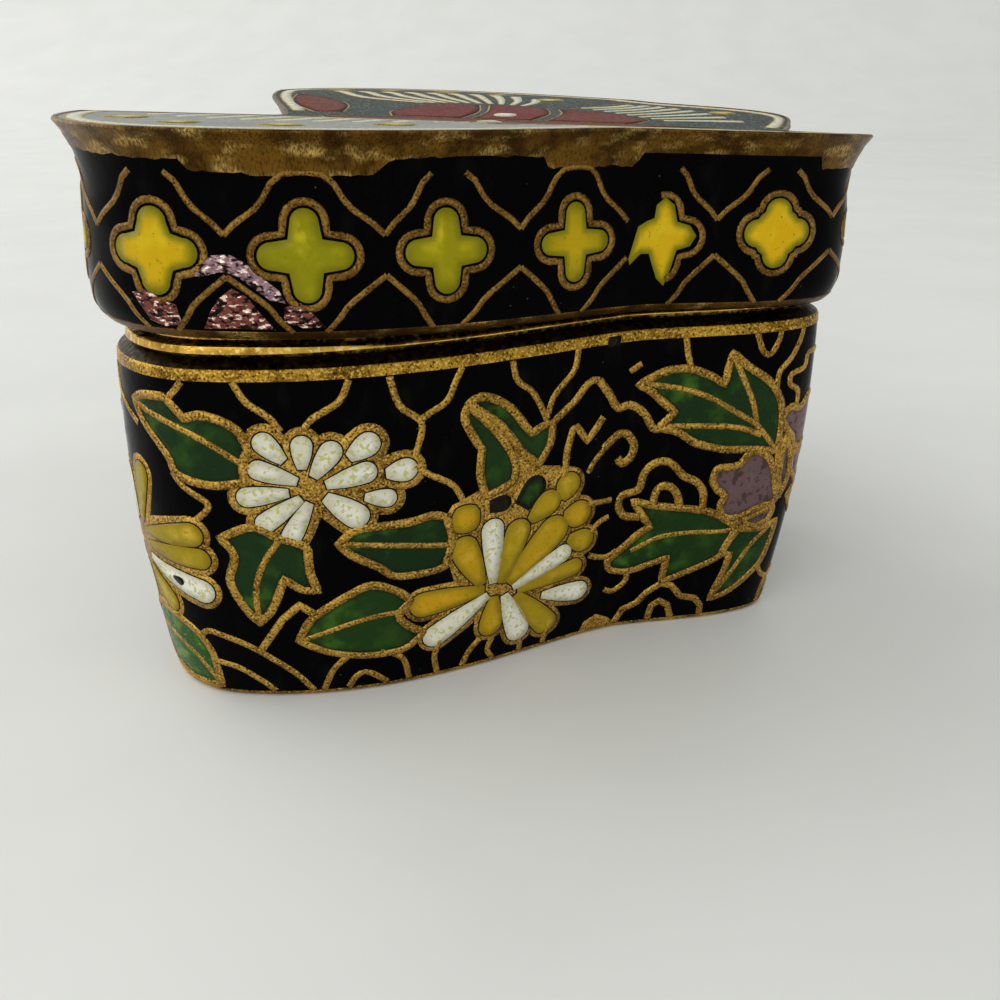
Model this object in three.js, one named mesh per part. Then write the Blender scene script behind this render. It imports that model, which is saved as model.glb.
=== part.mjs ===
// A butterfly-shaped trinket box in cloisonne enamel: base, fitting collar and lift-off lid.
// Millimetres, +Z up. The butterfly lies along X, head at -X and tail at +X, wings at -Y and +Y.
// The origin is at the middle of the box's plan, on the surface that it stands on.

import * as THREE from 'three';
import * as BufferGeometryUtils from 'three/addons/utils/BufferGeometryUtils.js';

// ---- driving dimensions -------------------------------------------------------------------------

// Foot outline of one wing pair, from the notch at the head round to the notch at the tail. Each
// station is a point (along, across), the heading of the outline there in degrees from +X, and the
// reach of its Bezier handles before and after the point. The other wing pair is its mirror, but
// for the +Y hindwing, which is a little shorter (see shortfall).
const WING_STATIONS = [
  { name: 'head notch', along: -19.7, across: 0, heading: 90, before: 0, after: 5.1 },
  { name: 'forewing front', along: -28.0, across: 23.2, heading: 90, before: 6.0, after: 6.7 },
  { name: 'forewing tip', along: -19.2, across: 33.4, heading: 0, before: 4.0, after: 13.8 },
  { name: 'waist between wings', along: 11.3, across: 18.7, heading: -32, before: 8.6, after: 4.2 },
  { name: 'hindwing tip', along: 27.0, across: 10.1, heading: -90, before: 4.8, after: 4.0 },
  { name: 'tail notch', along: 22.3, across: 0, heading: -90, before: 3.8, after: 0 },
];
const STEPS_PER_SPAN = [8, 8, 10, 9, 6]; // facets between one station and the next

const HINDWING_SHORTFALL = 3.2; // the +Y hindwing was bent this much shorter than the -Y one
const SHORTFALL_LENGTH = 27; // from mid length, where it starts, to the hindwing's tip
const SHORTFALL_SIDES = [-4, 8]; // and it grows between these distances across

const BASE_HEIGHT = 29.5; // floor to the edge strip at the top of the wall
const BASE_FLARE = 1.6; // how far the top of the wall stands outside the foot
const BASE_BELLY = 0.9; // extra swell at half height
const BASE_LEAN = 0.7; // the foot stands this much nearer to the head than the top does
const BASE_WALL = 1.7;
const BASE_FLOOR = 1.8;
const FOOT_ROUNDING = 0.35;
const SHOULDER_RISE = 0.65; // the shoulder climbs this much from the edge strip to the collar

const COLLAR_GAP = 0.3; // clearance between the collar and what holds it
const COLLAR_WALL = 0.7;
const COLLAR_DEPTH = 5.5; // how far it goes down inside the base
const COLLAR_STAND = 6.2; // how far it stands up inside the lid
const COLLAR_FLANGE = 0.55; // height of the flange that sits on the shoulder

const LID_LIFT = 2.0; // height of the lid's lower edge over the base's edge strip, at mid length
const LID_TILT = 1.55; // degrees: the head end of the lid sits a little high
const LID_HEIGHT = 14.35;
const LID_EDGE = 1.9; // outward offsets from the foot outline
const LID_BELLY = 2.85;
const LID_WAIST = 2.45;
const LID_RIM = 3.85;
const LID_BORE = 0.35; // the same, of the inner face where it slips over the collar
const LID_TOP = 1.7;
const RIM_WIDTH = 0.45;

const VALLEY_DEPTH = 1.3; // the wings of the lid rise from the body line to here
const VALLEY_REACH = 22; // and are level beyond this distance from it
const VALLEY_ROUNDING = 1.5;
const SPINE_FRONT = -12; // ends of the body line that the top's facets run to
const SPINE_BACK = 16;
const TOP_RINGS = [0.82, 0.6, 0.38, 0.18, 0]; // shares of the way from the body line to the rim

// ---- outline ------------------------------------------------------------------------------------

function headingVector(degrees) {
  const angle = THREE.MathUtils.degToRad(degrees);
  return new THREE.Vector2(Math.cos(angle), Math.sin(angle));
}

function spanBetween(start, end) {
  const a = new THREE.Vector2(start.along, start.across);
  const d = new THREE.Vector2(end.along, end.across);
  const b = a.clone().addScaledVector(headingVector(start.heading), start.after);
  const c = d.clone().addScaledVector(headingVector(end.heading), -end.before);
  return new THREE.CubicBezierCurve(a, b, c, d);
}

// Points and outward normals of the whole foot outline, counter-clockwise seen from above: along the
// -Y wings from head to tail, then back along the +Y wings.
function footOutline() {
  const wing = [];
  STEPS_PER_SPAN.forEach((steps, index) => {
    const span = spanBetween(WING_STATIONS[index], WING_STATIONS[index + 1]);
    for (let step = 0; step < steps; step += 1) {
      const point = span.getPoint(step / steps);
      const tangent = span.getTangent(step / steps);
      wing.push({ point, normal: new THREE.Vector2(-tangent.y, tangent.x) });
    }
  });
  const tail = WING_STATIONS[WING_STATIONS.length - 1];
  wing.push({ point: new THREE.Vector2(tail.along, 0), normal: new THREE.Vector2(1, 0) });
  const mirrored = wing.map(({ point, normal }) => ({
    point: new THREE.Vector2(point.x, -point.y),
    normal: new THREE.Vector2(normal.x, -normal.y),
  }));
  return [...mirrored, ...wing.slice(1, -1).reverse()];
}

const OUTLINE = footOutline();

// One closed loop of the outline, moved outwards by offset, at a height that may depend on the place.
function ring(offset, height) {
  return OUTLINE.map(({ point, normal }) => {
    const place = point.clone().addScaledVector(normal, offset);
    const z = typeof height === 'function' ? height(place.x, place.y) : height;
    return new THREE.Vector3(place.x, place.y, z);
  });
}

// ---- surfaces -----------------------------------------------------------------------------------

function pushTriangle(positions, a, b, c) {
  const distinct = a.distanceTo(b) > 1e-6 && b.distanceTo(c) > 1e-6 && c.distanceTo(a) > 1e-6;
  if (distinct) {
    positions.push(...a.toArray(), ...b.toArray(), ...c.toArray());
  }
}

function pushBand(positions, from, to) {
  from.forEach((corner, index) => {
    const next = (index + 1) % from.length;
    pushTriangle(positions, corner, from[next], to[next]);
    pushTriangle(positions, corner, to[next], to[index]);
  });
}

// A flat lid over a ring, facing up or down.
function pushFlatCap(positions, loop, facesUp) {
  const contour = loop.map((corner) => new THREE.Vector2(corner.x, corner.y));
  THREE.ShapeUtils.triangulateShape(contour, []).forEach(([a, b, c]) => {
    const corners = facesUp ? [loop[a], loop[b], loop[c]] : [loop[a], loop[c], loop[b]];
    pushTriangle(positions, ...corners);
  });
}

// A surface over a ring whose facets run in to the body line, with its height given by place.
function foldedRings(loop, height) {
  return TOP_RINGS.map((share) => loop.map((edge) => {
    const spine = THREE.MathUtils.clamp(edge.x, SPINE_FRONT, SPINE_BACK);
    const x = spine + share * (edge.x - spine);
    const y = share === 0 ? 0 : share * edge.y;
    return new THREE.Vector3(x, y, height(x, y));
  }));
}

// How much nearer to the middle a place of the +Y hindwing is than its mirror image.
function shortfall(x, y) {
  const along = Math.max(0, x) / SHORTFALL_LENGTH;
  return HINDWING_SHORTFALL * along * along * THREE.MathUtils.smoothstep(y, ...SHORTFALL_SIDES);
}

function solidFrom(positions) {
  for (let index = 0; index < positions.length; index += 3) {
    positions[index] -= shortfall(positions[index], positions[index + 1]);
  }
  const geometry = new THREE.BufferGeometry();
  geometry.setAttribute('position', new THREE.Float32BufferAttribute(positions, 3));
  const merged = BufferGeometryUtils.mergeVertices(geometry, 1e-5);
  merged.computeVertexNormals();
  return merged;
}

function pushBands(positions, rings) {
  rings.slice(1).forEach((upper, index) => pushBand(positions, rings[index], upper));
}

// ---- base ---------------------------------------------------------------------------------------

function baseOffset(height) {
  const share = height / BASE_HEIGHT;
  return BASE_FLARE * share + 4 * BASE_BELLY * share * (1 - share);
}

function baseGeometry() {
  const outerShares = [0.06, 0.16, 0.3, 0.45, 0.62, 0.8, 0.965];
  const innerShares = [0.75, 0.5, 0.25];
  const inner = (height) => baseOffset(height) - BASE_WALL;
  const top = BASE_HEIGHT + SHOULDER_RISE;
  const innerTop = inner(BASE_HEIGHT);
  const rings = [
    ring(-FOOT_ROUNDING, 0),
    ring(baseOffset(FOOT_ROUNDING), FOOT_ROUNDING),
    ...outerShares.map((share) => ring(baseOffset(share * BASE_HEIGHT), share * BASE_HEIGHT)),
    ring(BASE_FLARE, BASE_HEIGHT - 0.15),
    ring(BASE_FLARE - 0.2, BASE_HEIGHT + 0.12),
    ring(BASE_FLARE - 0.85, BASE_HEIGHT + 0.5),
    ring(innerTop + 0.35, top),
    ring(innerTop, top - 0.1),
    ...innerShares.map((share) => ring(inner(share * BASE_HEIGHT), share * BASE_HEIGHT)),
    ring(inner(BASE_FLOOR + 0.8), BASE_FLOOR + 0.8),
    ring(inner(BASE_FLOOR) - 0.6, BASE_FLOOR),
  ];
  rings.flat().forEach((corner) => {
    corner.x -= BASE_LEAN * Math.max(0, 1 - corner.z / BASE_HEIGHT);
  });
  const positions = [];
  pushFlatCap(positions, rings[0], false);
  pushBands(positions, rings);
  pushFlatCap(positions, rings[rings.length - 1], true);
  return solidFrom(positions);
}

// ---- collar -------------------------------------------------------------------------------------

function collarGeometry() {
  const face = baseOffset(BASE_HEIGHT) - BASE_WALL - COLLAR_GAP;
  const seat = BASE_HEIGHT + SHOULDER_RISE + COLLAR_GAP;
  const bottom = BASE_HEIGHT - COLLAR_DEPTH;
  const top = seat + COLLAR_STAND;
  const profile = [
    [face, bottom],
    [face, seat],
    [face + 0.85, seat],
    [face + 0.85, seat + 0.3],
    [face + 0.2, seat + COLLAR_FLANGE],
    [face, seat + 1.3],
    [face, top - 1.2],
    [face + 0.3, top],
    [face - COLLAR_WALL + 0.4, top],
    [face - COLLAR_WALL, top - 1.2],
    [face - COLLAR_WALL, bottom],
  ];
  const rings = profile.map(([offset, height]) => ring(offset, height));
  rings.flat().forEach((corner) => {
    corner.x -= BASE_LEAN * Math.max(0, 1 - corner.z / BASE_HEIGHT);
  });
  const positions = [];
  pushBands(positions, [...rings, rings[0]]);
  return solidFrom(positions);
}

// ---- lid ----------------------------------------------------------------------------------------

// How far the top lies below the level part of the wings, by the distance from the body line.
function valleyDrop(across) {
  const distance = Math.hypot(across, VALLEY_ROUNDING) - VALLEY_ROUNDING;
  return VALLEY_DEPTH * Math.max(0, 1 - distance / VALLEY_REACH);
}

// Height in the lid, measured up its wall: the upper part of the wall dips with the top.
function lidHeight(level) {
  const share = THREE.MathUtils.smoothstep(level, 0.45 * LID_HEIGHT, 0.92 * LID_HEIGHT);
  return (x, y) => level - share * valleyDrop(y);
}

function lidGeometry() {
  const outside = [
    [LID_EDGE, 0.12],
    [LID_EDGE + 0.55, 0.75],
    [LID_BELLY - 0.1, 1.7],
    [LID_BELLY, 3.2],
    [LID_BELLY - 0.05, 5.2],
    [LID_BELLY - 0.2, 7.5],
    [LID_WAIST, 9.8],
    [LID_WAIST + 0.05, 11.0],
    [LID_WAIST + 0.3, 12.2],
    [LID_RIM - 0.6, 13.3],
    [LID_RIM, LID_HEIGHT - 0.18],
    [LID_RIM - 0.12, LID_HEIGHT],
  ];
  const ceiling = LID_HEIGHT - LID_TOP;
  const inside = [
    [LID_BORE - 0.8, ceiling],
    [LID_BORE - 0.2, ceiling - 0.8],
    [LID_BORE, 7.0],
    [LID_BORE, 4.0],
    [LID_BORE + 0.15, 1.0],
    [LID_BORE + 0.15, 0.15],
    [LID_BORE + 0.3, 0],
    [LID_EDGE - 0.2, 0],
  ];
  const rings = [...inside, ...outside].map(([offset, level]) => ring(offset, lidHeight(level)));
  const field = ring(LID_RIM - RIM_WIDTH, lidHeight(LID_HEIGHT - 0.06));
  const topHeight = (x, y) => LID_HEIGHT - 0.06 - valleyDrop(y);
  const ceilingHeight = (x, y) => ceiling - valleyDrop(y);
  const ceilingRing = ring(LID_BORE - 0.8, ceilingHeight);
  const positions = [];
  pushBands(positions, [...foldedRings(ceilingRing, ceilingHeight).reverse(), ceilingRing]);
  pushBands(positions, [ceilingRing, ...rings.slice(1), field]);
  pushBands(positions, [field, ...foldedRings(field, topHeight)]);
  return solidFrom(positions);
}

// ---- the box ------------------------------------------------------------------------------------

function piece(name, geometry, colour, roughness, metalness) {
  const material = new THREE.MeshStandardMaterial({ color: colour, roughness, metalness });
  const mesh = new THREE.Mesh(geometry, material);
  mesh.name = name;
  return mesh;
}

const base = piece('base', baseGeometry(), 0x0c0c0e, 0.16, 0.1);
const collar = piece('collar', collarGeometry(), 0xb08a3c, 0.32, 1.0);
const lid = piece('lid', lidGeometry(), 0x0e0d0f, 0.16, 0.1);
lid.position.z = BASE_HEIGHT + LID_LIFT;
lid.rotation.y = THREE.MathUtils.degToRad(LID_TILT);

// The plan is centred on the origin by the outermost edges, which are the lid's.
const group = new THREE.Group();
group.add(base, collar, lid);
group.updateMatrixWorld(true);
const extent = new THREE.Box3().setFromObject(group, true);
group.position.x = -(extent.min.x + extent.max.x) / 2;
group.updateMatrixWorld(true);

export default group;
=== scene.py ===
"""Looks of a butterfly-shaped trinket box in cloisonne enamel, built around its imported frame.

Sizes are in millimetres until a mesh is made. Along the wall, a pattern is drawn on a chart: s runs
round the box from the waist between the near wings, towards the tail where it is positive, and the
other coordinate climbs the wall.
"""

from __future__ import annotations

import logging
import math
from dataclasses import dataclass, field, replace
from enum import Enum
from functools import partial

import bmesh
import bpy
import numpy as np
from mathutils import Euler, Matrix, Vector
from mathutils.geometry import delaunay_2d_cdt

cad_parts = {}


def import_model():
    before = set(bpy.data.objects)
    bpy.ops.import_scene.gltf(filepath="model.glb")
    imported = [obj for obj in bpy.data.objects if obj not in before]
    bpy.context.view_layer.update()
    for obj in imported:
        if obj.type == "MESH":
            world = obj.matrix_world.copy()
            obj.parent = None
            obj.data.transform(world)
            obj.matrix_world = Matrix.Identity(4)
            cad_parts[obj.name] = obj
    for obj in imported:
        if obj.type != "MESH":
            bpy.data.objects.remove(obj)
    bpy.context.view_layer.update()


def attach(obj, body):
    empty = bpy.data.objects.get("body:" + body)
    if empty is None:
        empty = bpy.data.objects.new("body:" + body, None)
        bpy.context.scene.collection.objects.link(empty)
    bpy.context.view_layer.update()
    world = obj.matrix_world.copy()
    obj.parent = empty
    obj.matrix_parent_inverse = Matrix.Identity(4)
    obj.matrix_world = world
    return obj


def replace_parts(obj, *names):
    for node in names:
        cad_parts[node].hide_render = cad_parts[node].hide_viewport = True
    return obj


LOG = logging.getLogger("cloisonne_box")
MM = 0.001
WAVER_LENGTH = 0.9
WIRE_SIDES = 6

Point = tuple[float, float]
Path = tuple[Point, ...]
Triple = tuple[float, float, float]
Tone = tuple[float, float, float, float]
Array = np.ndarray
Numbers = np.ndarray | float
Material = bpy.types.Material
Piece = bpy.types.Object
Socket = bpy.types.NodeSocket
Sockets = bpy.types.bpy_prop_collection


def tone(red: int, green: int, blue: int) -> Tone:
    """Linear colour of a tone given in display steps.

    Args:
        red: 0 to 255.
        green: 0 to 255.
        blue: 0 to 255.

    Returns:
        The colour that a shader socket takes.
    """
    steps = [value / 255 for value in (red, green, blue)]
    linear = [v / 12.92 if v <= 0.04045 else ((v + 0.055) / 1.055) ** 2.4 for v in steps]
    return (*linear, 1.0)


# ---- drawing ----


def eased(points: Path, step: float = 0.4) -> Path:
    """A smooth line through a few points.

    Args:
        points: the points, in order.
        step: spacing of the line's own points.

    Returns:
        The line's points, the given ends included.
    """
    if len(points) < 3:
        return points
    knots = [np.array(p, float) for p in points]
    knots = [2 * knots[0] - knots[1], *knots, 2 * knots[-1] - knots[-2]]
    line = []
    for before, start, end, after in zip(knots, knots[1:], knots[2:], knots[3:]):
        pieces = max(2, math.ceil(float(np.linalg.norm(end - start)) / step))
        for index in range(pieces):
            t = index / pieces
            spot = 0.5 * (
                2 * start + (end - before) * t + (2 * before - 5 * start + 4 * end - after) * t * t
                + (3 * start - before - 3 * end + after) * t**3
            )
            line.append((float(spot[0]), float(spot[1])))
    line.append(points[-1])
    return tuple(line)


def arc(centre: Point, radius: float, first: float, last: float, pieces: int) -> Path:
    """Points on an arc, angles in degrees.

    Args:
        centre: the arc's centre.
        radius: its radius.
        first: angle of the first point.
        last: angle of the last point.
        pieces: number of chords.

    Returns:
        The points from first to last.
    """
    angles = [math.radians(first + (last - first) * i / pieces) for i in range(pieces + 1)]
    return tuple((centre[0] + radius * math.cos(a), centre[1] + radius * math.sin(a)) for a in angles)


def joined(*stretches: Path) -> Path:
    """One outline from stretches that are smooth in themselves and meet in corners.

    Args:
        *stretches: the stretches, each starting where the last one ends.

    Returns:
        The outline's points, without a repeat of the first.
    """
    outline: list[Point] = []
    for stretch in stretches:
        for spot in eased(stretch):
            if not outline or math.dist(spot, outline[-1]) > 0.05:
                outline.append(spot)
    if math.dist(outline[0], outline[-1]) < 0.05:
        outline.pop()
    return tuple(outline)


def petal_outline(root: Point, tip: Point, width: float, waist: float = 0.3) -> Path:
    """A petal that widens from its root and ends in a half round.

    Args:
        root: middle of the narrow end.
        tip: middle of the round end.
        width: widest measure.
        waist: width at the root as a share of the widest.

    Returns:
        The closed outline's points.
    """
    length = math.dist(root, tip)
    ax, ay = (tip[0] - root[0]) / length, (tip[1] - root[1]) / length
    round_from = max(0.35, 1 - 0.5 * width / length)
    shares: list[tuple[float, float]] = []
    for index in range(6):
        t = index / 5
        shares.append((t * round_from, waist + (1 - waist) * math.sin(0.5 * math.pi * t)))
    for index in range(1, 6):
        a = 0.5 * math.pi * index / 5
        shares.append((round_from + (1 - round_from) * math.sin(a), math.cos(a)))

    def spot(t: float, w: float) -> Point:
        """The place a share of the way along, and a share of half the width to the left."""
        return (
            root[0] + ax * t * length - ay * w * width / 2, root[1] + ay * t * length + ax * w * width / 2
        )

    side = [spot(t, w) for t, w in shares]
    other = [spot(t, -w) for t, w in shares[:-1]]
    return tuple(side + other[::-1])


def blob_outline(centre: Point, width: float, height: float) -> Path:
    """A small round of enamel, a little squarer than an ellipse.

    Args:
        centre: its middle.
        width: measure along the wall.
        height: measure up the wall.

    Returns:
        The closed outline's points.
    """
    spots = []
    for index in range(14):
        a = 2 * math.pi * index / 14
        bulge = 1 + 0.05 * math.cos(4 * a + math.pi)
        spots.append(
            (centre[0] + 0.5 * width * bulge * math.cos(a), centre[1] + 0.5 * height * bulge * math.sin(a))
        )
    return tuple(spots)


def lobed_outline(
    centre: Point, reach: float, lobe: float, tilt: float = 0.0, lobes: int = 4, sweep: float = 96.0,
    notch: float = 0.0
) -> Path:
    """Round lobes about a middle, such as a quatrefoil.

    Args:
        centre: the middle.
        reach: from the middle to a lobe's end.
        lobe: radius of a lobe.
        tilt: turn in degrees.
        lobes: how many.
        sweep: half the arc of a lobe, in degrees.
        notch: from the middle to the corner between two lobes, or none.

    Returns:
        The closed outline's points.
    """
    outline: list[Point] = []
    for turn in range(lobes):
        angle = 360 / lobes * turn + tilt
        a = math.radians(angle)
        middle = (centre[0] + (reach - lobe) * math.cos(a), centre[1] + (reach - lobe) * math.sin(a))
        outline.extend(arc(middle, lobe, angle - sweep, angle + sweep, 10))
        if notch:
            half = a + math.pi / lobes
            outline.append((centre[0] + notch * math.cos(half), centre[1] + notch * math.sin(half)))
    return tuple(outline)


def looped(*stretches: Path) -> tuple[Path, ...]:
    """Stretches of a closed edge, each with its first point added: the last of the one before."""
    return tuple((stretches[i - 1][-1], *stretch) for i, stretch in enumerate(stretches))


def mirrored(path: Path, about: float) -> Path:
    """The path on the other side of a line across the chart at s = about."""
    return tuple((2 * about - s, z) for s, z in path)


# ---- the butterfly's outline and its charts ----


@dataclass(frozen=True)
class Station:
    """A point of the wing outline, its heading in degrees and the reach of its handles."""

    along: float
    across: float
    heading: float
    before: float
    after: float


@dataclass
class WingOutline:
    """Foot outline of the box, measured round its perimeter."""

    stations: tuple[Station, ...] = (
        Station(-19.7, 0.0, 90.0, 0.0, 5.1), Station(-28.0, 23.2, 90.0, 6.0, 6.7),
        Station(-19.2, 33.4, 0.0, 4.0, 13.8), Station(11.3, 18.7, -32.0, 8.6, 4.2),
        Station(27.0, 10.1, -90.0, 4.8, 4.0), Station(22.3, 0.0, -90.0, 3.8, 0.0)
    )
    waist_station: int = 3
    samples: int = 60
    measured_at: float = 1.6
    shift: float = 0.127
    shortfall: float = 3.2
    shortfall_length: float = 27.0
    shortfall_sides: Point = (-4.0, 8.0)
    corners: int = 440
    s: Array = field(init=False)
    table: Array = field(init=False)
    perimeter: float = field(init=False)
    tail: float = field(init=False)

    def __post_init__(self) -> None:
        """Measures the outline once."""
        spots, normals = [], []
        for start, end in zip(self.stations, self.stations[1:]):
            a = np.array((start.along, start.across))
            d = np.array((end.along, end.across))
            b = a + start.after * self.heading(start)
            c = d - end.before * self.heading(end)
            for t in np.arange(self.samples) / self.samples:
                spots.append(
                    (1 - t) ** 3 * a + 3 * t * (1 - t) ** 2 * b + 3 * t * t * (1 - t) * c + t**3 * d
                )
                run = (3 * (1 - t) ** 2 * (b - a) + 6 * t * (1 - t) * (c - b) + 3 * t * t * (d - c))
                run /= np.linalg.norm(run)
                normals.append((-run[1], run[0]))
        spots.append(np.array((self.stations[-1].along, 0.0)))
        normals.append((1.0, 0.0))
        wing = np.hstack([np.array(spots), np.array(normals)])
        near = wing * (1, -1, 1, -1)
        loop = np.vstack([near, wing[-2::-1]])
        edge = loop[:, :2] + self.measured_at * loop[:, 2:]
        run = np.concatenate([[0], np.cumsum(np.linalg.norm(np.diff(edge, axis=0), axis=1))])
        zero = run[self.waist_station * self.samples]
        self.perimeter = float(run[-1])
        self.s = run - zero
        self.table = loop
        self.tail = float(self.s[len(near) - 1])

    @staticmethod
    def heading(station: Station) -> Array:
        """Unit vector of a station's heading."""
        angle = math.radians(station.heading)
        return np.array((math.cos(angle), math.sin(angle)))

    @property
    def head(self) -> float:
        """s of the notch at the head, on the near side."""
        return float(self.s[0])

    def foot(self, s: Array) -> Array:
        """Foot points and outward normals.

        Args:
            s: distances round the box.

        Returns:
            One row a distance: x, y and the normal's x, y.
        """
        wrapped = (np.asarray(s, float) - self.s[0]) % self.perimeter + self.s[0]
        rows = np.stack([np.interp(wrapped, self.s, self.table[:, k]) for k in range(4)], axis=1)
        rows[:, 2:] /= np.linalg.norm(rows[:, 2:], axis=1)[:, None]
        return rows

    def short_by(self, x: Array, y: Array) -> Array:
        """How much nearer to the middle a place of the +Y hindwing is than its mirror image."""
        low, high = self.shortfall_sides
        side = np.clip((y - low) / (high - low), 0, 1)
        along = np.maximum(0, x) / self.shortfall_length
        return self.shortfall * along * along * side * side * (3 - 2 * side)

    def round_trip(self) -> Array:
        """Even distances once round the box."""
        return self.s[0] + self.perimeter * np.arange(self.corners) / self.corners


class Chart:
    """A surface of the box on which patterns are drawn flat."""

    def place(self, u: Array, v: Array, proud: Numbers = 0.0) -> Array:
        """Points in the row frame, at chart places u, v and a height over the surface."""
        raise NotImplementedError

    def lift(self, u: Array, v: Array) -> Array:
        """Unit vectors away from the surface, at chart places u, v."""
        way = self.place(u, v, 0.05) - self.place(u, v, -0.05)
        return way / np.linalg.norm(way, axis=1)[:, None]


@dataclass
class BaseWall(Chart):
    """The wall of the lower half: s round the box, height above the table."""

    outline: WingOutline
    height: float = 29.5
    flare: float = 1.6
    belly: float = 0.9
    lean: float = 0.7

    def swell(self, height: Numbers) -> Numbers:
        """How far the wall stands outside the foot outline."""
        share = np.asarray(height) / self.height
        return self.flare * share + 4 * self.belly * share * (1 - share)

    def even(self, offset: Numbers, height: Numbers, s: Array | None = None) -> Array:
        """Points at a distance outside the foot outline, with both hindwings alike.

        Args:
            offset: the distance.
            height: height above the table.
            s: distances round the box, or None for a full round.

        Returns:
            One row a point.
        """
        way = self.outline.round_trip() if s is None else np.asarray(s, float)
        foot = self.outline.foot(way)
        level = np.broadcast_to(np.asarray(height, float), way.shape)
        off = np.broadcast_to(np.asarray(offset, float), way.shape)
        x = foot[:, 0] + foot[:, 2] * off - self.lean * np.maximum(0, 1 - level / self.height)
        return np.stack([x, foot[:, 1] + foot[:, 3] * off, level], axis=1)

    def bent(self, rows: Array) -> Array:
        """Even points with the +Y hindwing shortened, in the row frame."""
        x = rows[:, 0] - self.outline.short_by(rows[:, 0], rows[:, 1]) + self.outline.shift
        return np.stack([x, rows[:, 1], rows[:, 2]], axis=1)

    def ring(self, offset: Numbers, height: Numbers, s: Array | None = None) -> Array:
        """Points at a distance outside the foot outline; see even."""
        return self.bent(self.even(offset, height, s))

    def place(self, u: Array, v: Array, proud: Numbers = 0.0) -> Array:
        """Points on the wall; see Chart."""
        return self.ring(self.swell(v) + proud, v, u)


@dataclass
class LidWall(Chart):
    """The wall of the lid: s round the box, level measured up from the lid's lower edge."""

    outline: WingOutline
    profile: tuple[Point, ...] = (
        (1.9, 0.12), (2.45, 0.75), (2.75, 1.7), (2.85, 3.2), (2.8, 5.2), (2.65, 7.5), (2.45, 9.8),
        (2.5, 11.0), (2.75, 12.2), (3.25, 13.3), (3.85, 14.17)
    )
    height: float = 14.35
    seat: float = 31.5
    tilt: float = 1.55
    valley: float = 1.3
    valley_reach: float = 22.0
    valley_round: float = 1.5
    dense: Array = field(init=False)

    def __post_init__(self) -> None:
        """Smooths the profile once."""
        self.dense = np.array(eased(self.profile, 0.12))

    def drop(self, y: Array) -> Array:
        """How far the top lies below the level part of the wings."""
        reach = np.hypot(y, self.valley_round) - self.valley_round
        return self.valley * np.maximum(0, 1 - reach / self.valley_reach)

    def settle(self, x: Array, y: Array, z: Array) -> Array:
        """Points of the lid's own frame as the lid sits on the box."""
        turn = math.radians(self.tilt)
        along = x - self.outline.shift
        along = along - self.outline.short_by(along, y)
        return np.stack(
            [
                along * math.cos(turn) + z * math.sin(turn) + self.outline.shift, y,
                z * math.cos(turn) - along * math.sin(turn) + self.seat
            ],
            axis=1
        )

    def ring(self, offset: Numbers, level: Numbers, s: Array | None = None) -> Array:
        """Points at a distance outside the foot outline; see BaseWall.ring."""
        way = self.outline.round_trip() if s is None else np.asarray(s, float)
        foot = self.outline.foot(way)
        up = np.broadcast_to(np.asarray(level, float), way.shape)
        off = np.broadcast_to(np.asarray(offset, float), way.shape)
        x = foot[:, 0] + foot[:, 2] * off + self.outline.shift
        y = foot[:, 1] + foot[:, 3] * off
        share = np.clip((up / self.height - 0.45) / 0.47, 0, 1)
        share = share * share * (3 - 2 * share)
        return self.settle(x, y, up - share * self.drop(y))

    def place(self, u: Array, v: Array, proud: Numbers = 0.0) -> Array:
        """Points on the wall; see Chart."""
        v = np.asarray(v, float)
        offset = np.interp(v, self.dense[:, 1], self.dense[:, 0])
        lean = (
            np.interp(v + 0.1, self.dense[:, 1], self.dense[:, 0])
            - np.interp(v - 0.1, self.dense[:, 1], self.dense[:, 0])
        ) / 0.2
        size = np.sqrt(1 + lean * lean)
        return self.ring(offset + proud / size, v - proud * lean / size, u)


@dataclass
class LidTop(Chart):
    """The top of the lid: x and y of the box."""

    wall: LidWall
    below_rim: float = 0.06

    def place(self, u: Array, v: Array, proud: Numbers = 0.0) -> Array:
        """Points on the top; see Chart."""
        u, v = np.asarray(u, float), np.asarray(v, float)
        level = self.wall.height - self.below_rim - self.wall.drop(v) + proud
        return self.wall.settle(u + self.wall.outline.shift, v, level)


# ---- finishes ----


def wired(
    tree: bpy.types.NodeTree, kind: str, links: dict[str | int, Socket],
    values: dict[str | int, object] | None = None, **settings: str
) -> Sockets:
    """A new node, linked and set.

    Args:
        tree: the tree that it joins.
        kind: its type.
        links: what feeds each linked input.
        values: the numbers of other inputs.
        **settings: its own settings.

    Returns:
        The node's outputs.
    """
    node = tree.nodes.new(kind)
    for name, setting in settings.items():
        setattr(node, name, setting)
    for name, value in (values or {}).items():
        node.inputs[name].default_value = value
    for name, source in links.items():
        tree.links.new(source, node.inputs[name])
    return node.outputs


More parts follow.
